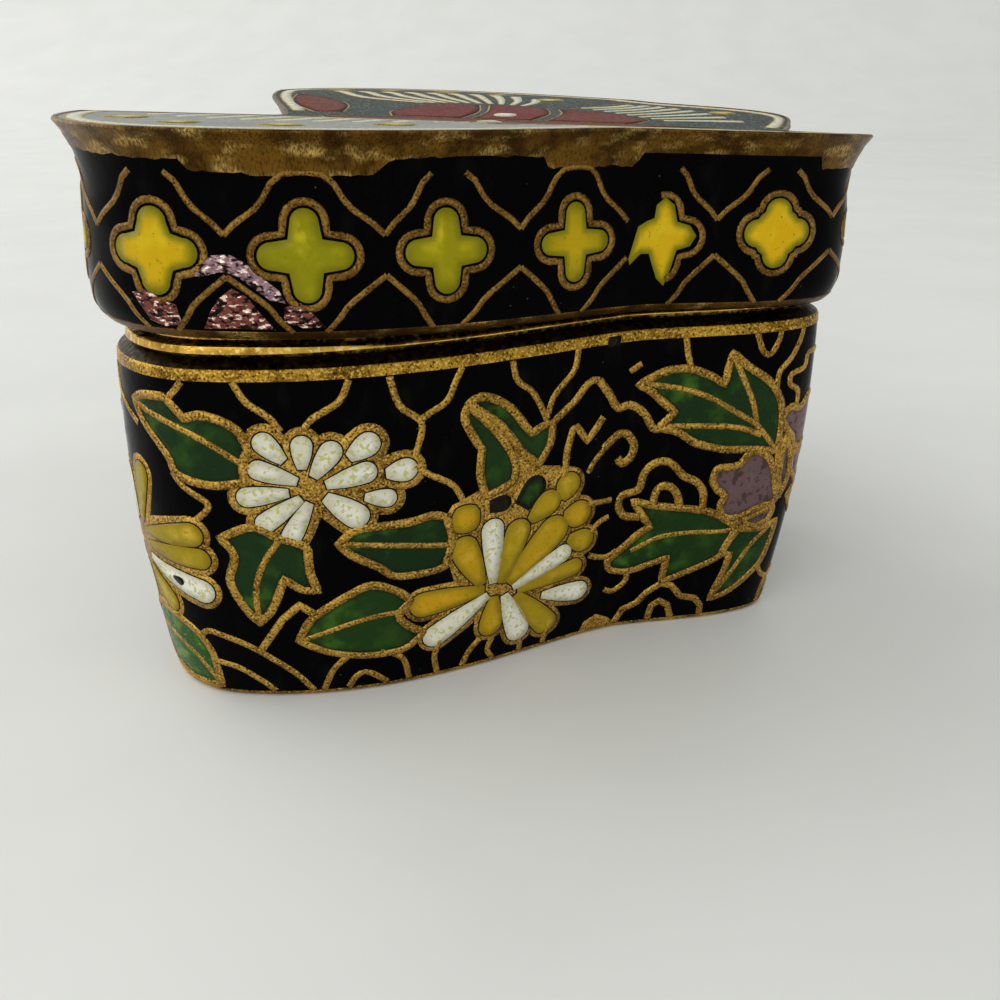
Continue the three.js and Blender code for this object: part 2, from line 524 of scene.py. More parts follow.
class FinishDesk:
    """Lays out the shader nodes of one finish."""

    def __init__(self, name: str, metallic: float, specular: float) -> None:
        """Starts a material.

        Args:
            name: the material's name.
            metallic: share of metal.
            specular: strength of the mirror light of a non-metal.
        """
        self.material = bpy.data.materials.new(name)
        self.material.use_nodes = True
        self.tree = self.material.node_tree
        self.shader = self.tree.nodes["Principled BSDF"]
        self.shader.inputs["Metallic"].default_value = metallic
        self.shader.inputs["Specular IOR Level"].default_value = specular
        self.node = partial(wired, self.tree)
        self.spot = self.node("ShaderNodeTexCoord", {})["Object"]

    def glare_side(self) -> Socket:
        """0 on the far wing pair, 1 on the near one, which gets painted glare."""
        y = self.node("ShaderNodeSeparateXYZ", {"Vector": self.spot})["Y"]
        return self.ranged(y, 0.001, -0.01)

    def stretched(self, across: Point, up: float) -> Socket:
        """Coordinates scaled along each axis, for drawn-out patterns."""
        scale = {"Scale": (*across, up)}
        return self.node("ShaderNodeMapping", {"Vector": self.spot}, scale)["Vector"]

    def noise(self, size: float, detail: float = 3.0, spot: Socket | None = None) -> Socket:
        """Noise whose blotches are about size millimetres across."""
        numbers = {"Scale": 1 / (size * MM), "Detail": detail}
        return self.node("ShaderNodeTexNoise", {"Vector": spot or self.spot}, numbers)["Fac"]

    def grains(self, size: float) -> Socket:
        """Distance from scattered grain middles, size millimetres apart."""
        scale = {"Scale": 1 / (size * MM)}
        return self.node("ShaderNodeTexVoronoi", {"Vector": self.spot}, scale)["Distance"]

    def attribute(self, name: str) -> Socket:
        """A value stored on the mesh."""
        return self.node("ShaderNodeAttribute", {}, attribute_name=name)["Fac"]

    def ranged(
        self, value: Socket, low: float, high: float, to_low: float = 0.0, to_high: float = 1.0
    ) -> Socket:
        """The value moved from low..high to to_low..to_high, and held there."""
        ends = {"From Min": low, "From Max": high, "To Min": to_low, "To Max": to_high}
        way = "SMOOTHSTEP"
        return self.node("ShaderNodeMapRange", {"Value": value}, ends, interpolation_type=way)["Result"]

    def mix(self, share: Socket, first: Socket | Tone, second: Socket | Tone) -> Socket:
        """first where share is 0, and second where it is 1."""
        colours = {6: first, 7: second}
        fixed = {index: c for index, c in colours.items() if isinstance(c, tuple)}
        fed = {index: c for index, c in colours.items() if index not in fixed}
        return self.node("ShaderNodeMix", {"Factor": share, **fed}, fixed, data_type="RGBA")[2]

    def times(self, first: Socket, second: Socket, way: str = "MULTIPLY") -> Socket:
        """Two values put together."""
        return self.node("ShaderNodeMath", {0: first, 1: second}, operation=way)[0]

    def coloured(self, colour: Socket) -> None:
        """Gives the shader its colour."""
        self.tree.links.new(colour, self.shader.inputs["Base Color"])

    def roughened(self, value: Socket) -> None:
        """Gives the shader its roughness."""
        self.tree.links.new(value, self.shader.inputs["Roughness"])

    def bumped(self, height: Socket, depth: float) -> None:
        """Gives the shader a relief of depth millimetres."""
        numbers = {"Strength": 1.0, "Distance": depth * MM}
        relief = self.node("ShaderNodeBump", {"Height": height}, numbers)["Normal"]
        self.tree.links.new(relief, self.shader.inputs["Normal"])


@dataclass(frozen=True)
class BlackGlaze:
    """Glossy black enamel with a few dust pits and faint streaks, partly wear and partly painted
    reflection haze.
    """

    name: str = "black_glaze"
    slot: str = "black_enamel"
    body: Tone = tone(1, 1, 2)
    streak_and_sheen: Tone = tone(12, 12, 10)
    dust: Tone = tone(70, 72, 60)

    def material(self) -> Material:
        """Builds the node material."""
        desk = FinishDesk(self.name, 0.0, 0.025)
        # Faint grey streaks: partly wear, partly painted reflection haze.
        streaks = desk.noise(2.2, 5.0, desk.stretched((1.0, 1.0), 0.45))
        colour = desk.mix(desk.ranged(streaks, 0.52, 0.8), self.body, self.streak_and_sheen)
        pits = desk.ranged(desk.grains(1.1), 0.03, 0.075, 1.0, 0.0)
        here = desk.ranged(desk.noise(5.0), 0.5, 0.62)
        desk.coloured(desk.mix(desk.times(pits, here), colour, self.dust))
        desk.roughened(desk.ranged(desk.noise(1.4, 6.0), 0.3, 0.75, 0.09, 0.27))
        desk.bumped(desk.times(desk.noise(1.6, 2.0), desk.ranged(pits, 0.0, 1.0, 1.0, 0.4)), 0.03)
        return desk.material


@dataclass(frozen=True)
class ColourGlaze:
    """Coloured enamel in a cell: darker along the wires, lighter in pools, with specks."""

    name: str
    slot: str
    body: Tone
    other: Tone
    rim: Tone
    light: Tone
    speck: Tone
    speck_share: float = 0.3
    speck_size: float = 0.3
    light_share: float = 0.5
    specular: float = 0.1
    rough: Point = (0.16, 0.4)
    near_glare: float = 0.0

    def material(self) -> Material:
        """Builds the node material."""
        desk = FinishDesk(self.name, 0.0, self.specular)
        colour = desk.mix(desk.attribute("tint"), self.body, self.other)
        pools = desk.ranged(desk.noise(1.9, 4.0), 0.62 - 0.3 * self.light_share, 0.78)
        pools = desk.times(pools, desk.ranged(desk.attribute("along"), 0.2, 0.95, 0.25, 1.0))
        colour = desk.mix(pools, colour, self.light)
        inside = desk.ranged(desk.attribute("inset"), 0.05, 0.75)
        colour = desk.mix(inside, self.rim, colour)
        start = 0.66 - 0.3 * self.speck_share
        specks = desk.ranged(desk.noise(self.speck_size, 2.0), start, start + 0.07, 0.0, 0.8)
        colour = desk.mix(specks, colour, self.speck)
        # Painted reflection: near-white streaks on the near wing pair stand in for the glare that the top
        # shows there.
        if self.near_glare:
            glare_streaks = desk.noise(0.5, 4.0, desk.stretched((0.12, 1.0), 1.0))
            glare_streaks = desk.ranged(glare_streaks, 0.3, 0.6, 0.7 * self.near_glare, self.near_glare)
            colour = desk.mix(desk.times(desk.glare_side(), glare_streaks), colour, tone(206, 206, 202))
        desk.coloured(colour)
        desk.roughened(desk.ranged(desk.noise(0.5, 4.0), 0.3, 0.7, *self.rough))
        desk.bumped(desk.noise(0.45, 3.0), 0.02)
        return desk.material


@dataclass(frozen=True)
class GiltBrass:
    """Worn gilt brass: brown-gold and pitted, with bright patches that are partly worn metal and partly
    painted highlight.
    """

    name: str = "gilt_brass_worn"
    slot: str = "gilt_brass"
    gold: Tone = tone(214, 172, 92)
    brown: Tone = tone(142, 102, 44)
    dark: Tone = tone(58, 40, 18)
    rubbed_and_sheen: Tone = tone(226, 190, 112)
    dark_share: float = 0.4
    grain: float = 0.28
    rough: Point = (0.3, 0.58)
    brushed: bool = False

    def material(self) -> Material:
        """Builds the node material."""
        desk = FinishDesk(self.name, 1.0, 0.4)
        broad = desk.ranged(desk.noise(2.4, 4.0), 0.36, 0.64)
        colour = desk.mix(broad, self.brown, self.gold)
        grain = desk.noise(self.grain, 2.0)
        relief = grain
        if self.brushed:
            strokes = desk.noise(0.13, 3.0, desk.stretched((1.0, 1.0), 0.2))
            colour = desk.mix(desk.ranged(strokes, 0.46, 0.68, 0.0, 0.6), colour, self.dark)
            # Bright patches of the worn-bright tone: partly wear, partly painted highlight on the metal.
            rubs_and_sheen = desk.ranged(desk.noise(2.6, 2.0, desk.stretched((1.0, 1.0), 2.2)), 0.5, 0.8)
            rubs_and_sheen = desk.times(rubs_and_sheen, desk.ranged(strokes, 0.6, 0.4, 0.15, 0.75))
            colour = desk.mix(rubs_and_sheen, colour, self.rubbed_and_sheen)
            relief = desk.times(grain, strokes, "ADD")
        else:
            # Bright grains of the worn-bright tone: partly wear, partly painted highlight.
            colour = desk.mix(desk.ranged(grain, 0.54, 0.66, 0.0, 0.75), colour, self.rubbed_and_sheen)
        low = 0.34 + 0.16 * self.dark_share
        colour = desk.mix(desk.ranged(grain, low, low - 0.1, 0.0, 0.9), colour, self.dark)
        desk.coloured(colour)
        desk.roughened(desk.ranged(grain, 0.3, 0.7, *self.rough))
        desk.bumped(relief, 0.05)
        return desk.material


@dataclass(frozen=True)
class BareFoil:
    """Bare copper where the enamel broke away, crumpled and bright in places."""

    name: str = "bare_copper_foil"
    slot: str = "bare_copper"
    copper: Tone = tone(118, 54, 36)
    pink: Tone = tone(255, 226, 208)
    lilac: Tone = tone(160, 132, 142)
    dark: Tone = tone(26, 13, 10)

    def material(self) -> Material:
        """Builds the node material."""
        desk = FinishDesk(self.name, 0.9, 0.5)
        hue = desk.mix(desk.attribute("tint"), self.copper, self.lilac)
        bright = desk.ranged(desk.noise(0.55, 3.0, desk.stretched((1.0, 1.0), 2.4)), 0.56, 0.62)
        colour = desk.mix(bright, hue, self.pink)
        dull = desk.ranged(desk.noise(0.6, 4.0, desk.stretched((1.0, 1.0), 1.8)), 0.52, 0.4)
        desk.coloured(desk.mix(dull, colour, self.dark))
        desk.roughened(desk.ranged(bright, 0.0, 1.0, 0.34, 0.16))
        desk.bumped(desk.grains(0.35), 0.12)
        return desk.material


@dataclass(frozen=True)
class PaleStone:
    """Pale matt surface that the box stands on."""

    name: str = "pale_table"
    body: Tone = (0.80, 0.80, 0.775, 1.0)
    shade: Tone = (0.77, 0.77, 0.745, 1.0)

    def material(self) -> Material:
        """Builds the node material."""
        desk = FinishDesk(self.name, 0.0, 0.3)
        desk.coloured(desk.mix(desk.ranged(desk.noise(30.0), 0.3, 0.7), self.body, self.shade))
        desk.roughened(desk.ranged(desk.noise(8.0), 0.3, 0.7, 0.45, 0.6))
        return desk.material


class Glaze(Enum):
    """The enamels that fill the cells."""

    LEAF = ColourGlaze(
        "leaf_green", "green_enamel", body=tone(16, 42, 14), other=tone(32, 62, 14), rim=tone(5, 18, 6),
        light=tone(66, 108, 26), speck=tone(70, 100, 50), speck_share=-0.25
    )
    BRIGHT_LEAF = ColourGlaze(
        "bright_green", "green_enamel", body=tone(24, 66, 16), other=tone(40, 88, 16), rim=tone(10, 34, 8),
        light=tone(120, 158, 36), speck=tone(130, 150, 70), speck_share=0.1
    )
    WHITE = ColourGlaze(
        "speckled_white", "white_enamel", body=tone(234, 232, 222), other=tone(224, 220, 186),
        rim=tone(204, 200, 178), light=tone(246, 246, 240), speck=tone(184, 182, 96), speck_share=0.4,
        speck_size=0.36
    )
    OCHRE = ColourGlaze(
        "ochre_yellow", "yellow_enamel", body=tone(198, 152, 16), other=tone(150, 138, 22),
        rim=tone(150, 124, 14), light=tone(222, 180, 60), speck=tone(150, 128, 20), speck_share=0.2
    )
    SEAM = ColourGlaze(
        "dark_seam", "black_enamel", body=tone(30, 21, 8), other=tone(30, 21, 8), rim=tone(20, 14, 6),
        light=tone(44, 32, 14), speck=tone(12, 9, 4), speck_share=0.3
    )
    CANARY = ColourGlaze(
        "canary_yellow", "yellow_enamel", body=tone(140, 136, 6), other=tone(220, 174, 12),
        rim=tone(128, 122, 6), light=tone(222, 200, 36), speck=tone(130, 116, 10), speck_share=0.02
    )
    MAUVE = ColourGlaze(
        "mauve", "mauve_enamel", body=tone(98, 76, 78), other=tone(112, 86, 88), rim=tone(70, 52, 52),
        light=tone(128, 106, 104), speck=tone(60, 44, 40), speck_share=0.35, speck_size=0.6
    )
    # The lid top's grey-blue and dark red have almost no mirror light, and painted glare on the near wing
    # pair.
    GREY_BLUE = ColourGlaze(
        "grey_blue", "blue_enamel", body=tone(112, 122, 124), other=tone(126, 136, 136),
        rim=tone(62, 70, 66), light=tone(156, 166, 170), speck=tone(150, 156, 152), speck_share=0.2,
        specular=0.02, rough=(0.4, 0.55), near_glare=0.5
    )
    RED_BROWN = ColourGlaze(
        "dark_red", "mauve_enamel", body=tone(112, 50, 48), other=tone(108, 62, 50), rim=tone(62, 28, 28),
        light=tone(134, 76, 70), speck=tone(78, 40, 38), speck_share=0.2, specular=0.02, rough=(0.4, 0.55),
        near_glare=0.3
    )
    TURQUOISE = ColourGlaze(
        "turquoise_lining", "blue_enamel", body=tone(58, 140, 148), other=tone(58, 140, 148),
        rim=tone(48, 122, 132), light=tone(88, 164, 168), speck=tone(40, 100, 110), speck_share=0.25
    )


OCHRE, WHITE, RED_BROWN = Glaze.OCHRE, Glaze.WHITE, Glaze.RED_BROWN


# ---- enamel cells ----


@dataclass(frozen=True)
class Cell:
    """One cell of enamel on a chart."""

    outline: Path
    glaze: Glaze
    tint: float = 0.0
    root: Point | None = None
    tip: Point | None = None
    proud: float = 0.05
    dish: float = 0.012


def shown(name: str, data: bpy.types.ID) -> Piece:
    """A new object in the scene."""
    obj = bpy.data.objects.new(name, data)
    bpy.context.scene.collection.objects.link(obj)
    return obj


@dataclass
class MeshPile:
    """Vertices and faces of one piece while it is being put together."""

    spots: list[Array] = field(default_factory=list)
    faces: list[tuple[int, ...]] = field(default_factory=list)
    values: dict[str, list[Array]] = field(default_factory=dict)
    count: int = 0

    def add(self, spots: Array, faces: list[tuple[int, ...]], **values: Array) -> None:
        """Adds a patch.

        Args:
            spots: its vertices, in millimetres.
            faces: indices into them.
            **values: one number a vertex for each named attribute.
        """
        self.faces.extend(tuple(self.count + i for i in face) for face in faces)
        self.spots.append(spots)
        self.count += len(spots)
        for name, numbers in values.items():
            self.values.setdefault(name, []).append(numbers)

    def piece(self, name: str, materials: list[Material]) -> Piece:
        """Makes the object.

        Args:
            name: the piece's name.
            materials: its finishes.

        Returns:
            The object, linked to the scene.
        """
        mesh = bpy.data.meshes.new(name)
        mesh.from_pydata((np.vstack(self.spots) * MM).tolist(), [], self.faces)
        for material in materials:
            mesh.materials.append(material)
        for key, lists in self.values.items():
            attribute = mesh.attributes.new(key, "FLOAT", "POINT")
            attribute.data.foreach_set("value", np.concatenate(lists).astype(np.float32))
        mesh.shade_smooth()
        return shown(name, mesh)


def distance_to(outline: Array, spots: Array) -> Array:
    """Distance of each spot from a closed outline.

    Args:
        outline: the outline's points.
        spots: the spots.

    Returns:
        One distance a spot.
    """
    start, run = outline, np.roll(outline, -1, axis=0) - outline
    gap = spots[:, None, :] - start[None, :, :]
    share = np.clip((gap * run).sum(2) / np.maximum((run * run).sum(1), 1e-9), 0, 1)
    return np.linalg.norm(gap - share[:, :, None] * run, axis=2).min(1)


@dataclass
class Enameller:
    """Fills cells on one chart with slightly dished pads of enamel."""

    chart: Chart
    grain: float = 0.75
    depth: float = 0.12

    def pad(self, pile: MeshPile, cell: Cell) -> None:
        """Adds one cell's pad to a pile.

        Args:
            pile: where it goes.
            cell: the cell.
        """
        outline = np.array(cell.outline)
        low, high = outline.min(0), outline.max(0)
        us = np.arange(low[0] + self.grain / 2, high[0], self.grain)
        vs = np.arange(low[1] + self.grain / 2, high[1], self.grain)
        grid = np.array([(u, v) for u in us for v in vs]).reshape(-1, 2)
        if len(grid):
            grid = grid[distance_to(outline, grid) > 0.35 * self.grain]
        spots = [Vector(p) for p in outline.tolist() + grid.tolist()]
        made = delaunay_2d_cdt(spots, [], [list(range(len(outline)))], 1, 1e-5)
        flat = np.array([(p.x, p.y) for p in made[0]])
        faces = [tuple(face) for face in made[2]]
        used = sorted({i for face in faces for i in face})
        where = {old: new for new, old in enumerate(used)}
        flat, faces = flat[used], [tuple(where[i] for i in face) for face in faces]
        inset = distance_to(outline, flat)
        sunk = cell.dish * np.minimum(1, inset / 0.8)
        top = self.chart.place(flat[:, 0], flat[:, 1], cell.proud - sunk)
        bottom = self.chart.place(flat[:, 0], flat[:, 1], cell.proud - self.depth)
        n = len(flat)
        walls: dict[tuple[int, int], int] = {}
        for face in faces:
            for a, b in zip(face, face[1:] + face[:1]):
                walls[(a, b)] = walls.get((b, a), 0) + 1
        rim = [(a, b) for a, b in walls if (b, a) not in walls]
        solid = list(faces)
        solid += [tuple(n + i for i in reversed(face)) for face in faces]
        solid += [(b, a, n + a, n + b) for a, b in rim]
        root = np.array(cell.root if cell.root else (low + high) / 2)
        tip = np.array(cell.tip if cell.tip else high)
        way = tip - root
        along = np.clip((flat - root) @ way / max(float(way @ way), 1e-6), 0, 1)
        both = np.concatenate
        pile.add(
            np.vstack([top, bottom]), solid, inset=both([inset, inset * 0]), along=both([along, along]),
            tint=np.full(2 * n, cell.tint)
        )

    def pieces(self, prefix: str, cells: list[Cell]) -> list[Piece]:
        """Makes one piece for each enamel among the cells.

        Args:
            prefix: start of the pieces' names.
            cells: the cells.

        Returns:
            The pieces, on the body they belong to.
        """
        made = []
        for glaze in Glaze:
            chosen = [cell for cell in cells if cell.glaze is glaze]
            if not chosen:
                continue
            pile = MeshPile()
            for cell in chosen:
                self.pad(pile, cell)
            obj = pile.piece(f"{prefix}_{glaze.value.name}", [PALETTE.of(glaze.value)])
            made.append(settled(obj))
        return made


# ---- wires ----


@dataclass(frozen=True)
class Wire:
    """One wire on a chart."""

    path: Path
    width: float = 0.5
    closed: bool = False


@dataclass
class WireSmith:
    """Bends flat wire along paths on a chart, with Geometry Nodes."""

    chart: Chart
    crown: float = 0.075
    waver: float = 0.3
    step: float = 0.42
    seed: int = 7

    @staticmethod
    def tree() -> bpy.types.NodeTree:
        """The node tree: guide lines in, domed wires out."""
        name = "cloison_wire"
        if name in bpy.data.node_groups:
            return bpy.data.node_groups[name]
        tree = bpy.data.node_groups.new(name, "GeometryNodeTree")
        sockets = {
            "Guides": "Geometry", "Crown height": "Float", "Waver": "Float", "Seed": "Int",
            "Finish": "Material"
        }
        for label, kind in sockets.items():
            tree.interface.new_socket(label, in_out="INPUT", socket_type="NodeSocket" + kind)
        tree.interface.new_socket("Wires", in_out="OUTPUT", socket_type="NodeSocketGeometry")
        given, out = tree.nodes.new("NodeGroupInput").outputs, tree.nodes.new("NodeGroupOutput")
        add = partial(wired, tree)
        named, sums = "GeometryNodeInputNamedAttribute", "ShaderNodeMath"
        lift = add(named, {}, {"Name": "lift"}, data_type="FLOAT_VECTOR")["Attribute"]
        width = add(named, {}, {"Name": "half_width"}, data_type="FLOAT")["Attribute"]
        curve = add("GeometryNodeMeshToCurve", {"Mesh": given["Guides"]})["Curve"]
        upright = add("GeometryNodeSetCurveNormal", {"Curve": curve, "Normal": lift}, mode="FREE")
        size = {"Scale": 1 / (WAVER_LENGTH * MM)}
        noise = add("ShaderNodeTexNoise", {"W": given["Seed"]}, size, noise_dimensions="4D")["Fac"]
        swing = add(sums, {0: noise}, {1: 0.5}, operation="SUBTRACT")[0]
        sway = add(sums, {0: swing, 1: given["Waver"]}, {2: 1.0}, operation="MULTIPLY_ADD")[0]
        half = add(sums, {0: width, 1: sway}, operation="MULTIPLY")[0]
        ring = {"Resolution": WIRE_SIDES, "Radius": 1.0}
        section = add("GeometryNodeCurvePrimitiveCircle", {}, ring, mode="RADIUS")["Curve"]
        shape = add("ShaderNodeCombineXYZ", {"X": given["Crown height"]}, {"Y": 1.0, "Z": 1.0})["Vector"]
        flat = add("GeometryNodeTransform", {"Geometry": section, "Scale": shape})["Geometry"]
        guides = {"Curve": upright["Curve"], "Profile Curve": flat, "Scale": half}
        sweep = add("GeometryNodeCurveToMesh", guides, {"Fill Caps": True})["Mesh"]
        real = add("GeometryNodeRealizeInstances", {"Geometry": sweep})["Geometry"]
        dress = {"Geometry": real, "Material": given["Finish"]}
        wires = add("GeometryNodeSetMaterial", dress)["Geometry"]
        tree.links.new(wires, out.inputs["Wires"])
        return tree

    def guides(self, name: str, wires: list[Wire]) -> Piece:
        """Guide lines on the chart, with their lift and half width.

        Args:
            name: the object's name.
            wires: the wires.

        Returns:
            The object of loose edges.
        """
        spots, edges, lifts, widths = [], [], [], []
        start = 0
        for wire in wires:
            line = self.respaced(wire)
            u, v = line[:, 0], line[:, 1]
            spots.append(self.chart.place(u, v, 0.0) * MM)
            lifts.append(self.chart.lift(u, v))
            widths.append(np.full(len(line), wire.width / 2 * MM))
            edges += [(start + i, start + i + 1) for i in range(len(line) - 1)]
            if wire.closed:
                edges.append((start + len(line) - 1, start))
            start += len(line)
        mesh = bpy.data.meshes.new(name)
        mesh.from_pydata(np.vstack(spots).tolist(), edges, [])
        lift = mesh.attributes.new("lift", "FLOAT_VECTOR", "POINT")
        lift.data.foreach_set("vector", np.vstack(lifts).astype(np.float32).ravel())
        width = mesh.attributes.new("half_width", "FLOAT", "POINT")
        width.data.foreach_set("value", np.concatenate(widths).astype(np.float32))
        return shown(name, mesh)

    def respaced(self, wire: Wire) -> Array:
        """A wire's path with even steps, its corners kept."""
        line = np.array(wire.path + wire.path[:1] if wire.closed else wire.path)
        kept = [line[0]]
        for start, end in zip(line, line[1:]):
            gap = float(np.linalg.norm(end - start))
            if gap < 1e-6:
                continue
            pieces = max(1, round(gap / self.step))
            for index in range(1, pieces + 1):
                kept.append(start + (end - start) * index / pieces)
        thin = [kept[0]]
        for before, spot, after in zip(kept, kept[1:], kept[2:]):
            turn = abs(math.atan2(*(after - spot)[::-1]) - math.atan2(*(spot - before)[::-1]))
            turn = min(turn, 2 * math.pi - turn)
            if float(np.linalg.norm(spot - thin[-1])) > 0.55 * self.step or turn > 0.6:
                thin.append(spot)
        if not wire.closed:
            thin.append(kept[-1])
        return np.array(thin)

    def piece(self, name: str, wires: list[Wire], material: Material) -> Piece:
        """The wires as one plain mesh.

        Args:
            name: the piece's name.
            wires: the wires.
            material: their finish.

        Returns:
            The piece, on its body.
        """
        guide = self.guides(name + "_guides", wires)
        modifier = guide.modifiers.new("wires", "NODES")
        tree = self.tree()
        modifier.node_group = tree
        sockets = {s.name: s.identifier for s in tree.interface.items_tree if s.in_out == "INPUT"}
        modifier[sockets["Crown height"]] = self.crown / 0.25
        modifier[sockets["Waver"]] = self.waver
        modifier[sockets["Seed"]] = self.seed
        modifier[sockets["Finish"]] = material
        graph = bpy.context.evaluated_depsgraph_get()
        mesh = bpy.data.meshes.new_from_object(guide.evaluated_get(graph), depsgraph=graph)
        bpy.data.objects.remove(guide)
        mesh.name = name
        if not mesh.materials:
            mesh.materials.append(material)
        mesh.shade_smooth()
        LOG.info("%s: %d wires, %d faces", name, len(wires), len(mesh.polygons))
        return settled(shown(name, mesh))


# ---- shared helpers ----


class Palette:
    """Builds each finish once."""

    def __init__(self) -> None:
        """Starts with nothing mixed."""
        self.mixed: dict[str, Material] = {}

    def of(self, finish: BlackGlaze | ColourGlaze | GiltBrass | BareFoil) -> Material:
        """The material of a finish."""
        if finish.name not in self.mixed:
            self.mixed[finish.name] = finish.material()
        return self.mixed[finish.name]


PALETTE = Palette()
WIRE_BRASS = GiltBrass(
    "wire_brass", brown=tone(146, 108, 40), gold=tone(190, 148, 62), dark=tone(52, 32, 8),
    rubbed_and_sheen=tone(232, 198, 112), dark_share=0.75, grain=0.17, rough=(0.32, 0.55)
)
BAND_BRASS = GiltBrass(
    "band_brass", brown=tone(104, 74, 30), gold=tone(142, 106, 46), dark=tone(44, 28, 8),
    rubbed_and_sheen=tone(176, 142, 76), dark_share=0.6, grain=0.17, rough=(0.32, 0.55)
)
EDGE_BRASS = GiltBrass(
    "edge_brass", brown=tone(118, 82, 20), gold=tone(184, 142, 48), dark=tone(46, 28, 6),
    rubbed_and_sheen=tone(236, 200, 104), dark_share=0.6, grain=0.2, rough=(0.26, 0.5)
)
# Painted light: the collar's brass is brighter and without pits, to stand in for light that the lid's
# overhang shades off it.
LIT_COLLAR_BRASS = GiltBrass(
    "collar_brass_lit", brown=tone(160, 116, 34), gold=tone(226, 180, 78), dark=tone(92, 58, 18),
    rubbed_and_sheen=tone(250, 222, 140), dark_share=-0.5, grain=0.5, rough=(0.16, 0.36)
)
# Dark brown brass for the shoulder: tarnish, together with painted shade of the gap under the lid.
SHOULDER_TARNISH_AND_SHADE = GiltBrass(
    "shoulder_tarnish_and_shade", brown=tone(30, 22, 12), gold=tone(58, 44, 22), dark=tone(10, 8, 6),
    rubbed_and_sheen=tone(70, 54, 28), dark_share=0.6, grain=0.4, rough=(0.3, 0.6)
)
# The rim's bright patches stand in partly for painted highlights on the flared brass.
RIM_BRASS = GiltBrass(
    "rim_brass", brown=tone(64, 42, 12), gold=tone(112, 80, 28), dark=tone(34, 21, 6),
    rubbed_and_sheen=tone(226, 190, 108), dark_share=-0.2, grain=0.16, rough=(0.26, 0.46), brushed=True
)


def settled(obj: Piece) -> Piece:
    """Puts a piece on the box's one body.

    Args:
        obj: the piece.

    Returns:
        The piece.
    """
    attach(obj, "root")
    return obj


def folded(ring: Array, shares: tuple[float, ...]) -> list[Array]:
    """Level rings that run in from a rim to the body line.

    Args:
        ring: the rim.
        shares: shares of the way from the body line to the rim.

    Returns:
        One ring a share.
    """
    spine = np.clip(ring[:, 0], -12, 16)
    rings = []
    for share in shares:
        x = spine + share * (ring[:, 0] - spine)
        rings.append(np.stack([x, share * ring[:, 1], ring[:, 2]], axis=1))
    return rings


def lofted(
    name: str, rings: list[Array], bands: list[int], materials: list[Material], closed: bool = False
) -> Piece:
    """A skin through rings of equal count.

    Args:
        name: the object's name.
        rings: the rings, in millimetres, counter-clockwise seen from above.
        bands: index of each band's finish.
        materials: the finishes.
        closed: whether the last ring joins the first.

    Returns:
        The object, with sharp edges marked.
    """
    n = len(rings[0])
    mesh = bpy.data.meshes.new(name)
    faces, kinds = [], []
    pairs = list(zip(range(len(rings)), range(1, len(rings))))
    if closed:
        pairs.append((len(rings) - 1, 0))
    for band, (low, high) in enumerate(pairs):
        for i in range(n):
            j = (i + 1) % n
            faces.append((low * n + i, low * n + j, high * n + j, high * n + i))
            kinds.append(bands[band])
    mesh.from_pydata((np.vstack(rings) * MM).tolist(), [], faces)
    for material in materials:
        mesh.materials.append(material)
    mesh.polygons.foreach_set("material_index", kinds)
    work = bmesh.new()
    work.from_mesh(mesh)
    bmesh.ops.remove_doubles(work, verts=work.verts, dist=2e-6)
    bmesh.ops.dissolve_degenerate(work, edges=work.edges, dist=1e-6)
    for edge in work.edges:
        edge.smooth = len(edge.link_faces) != 2 or edge.calc_face_angle(0) < math.radians(32)
    for face in work.faces:
        face.smooth = True
    work.to_mesh(mesh)
    work.free()
    return shown(name, mesh)


TOP_SHARES = (0.95, 0.88, 0.8, 0.7, 0.6, 0.5, 0.4, 0.3, 0.2, 0.1, 0.0)


# ---- base ----


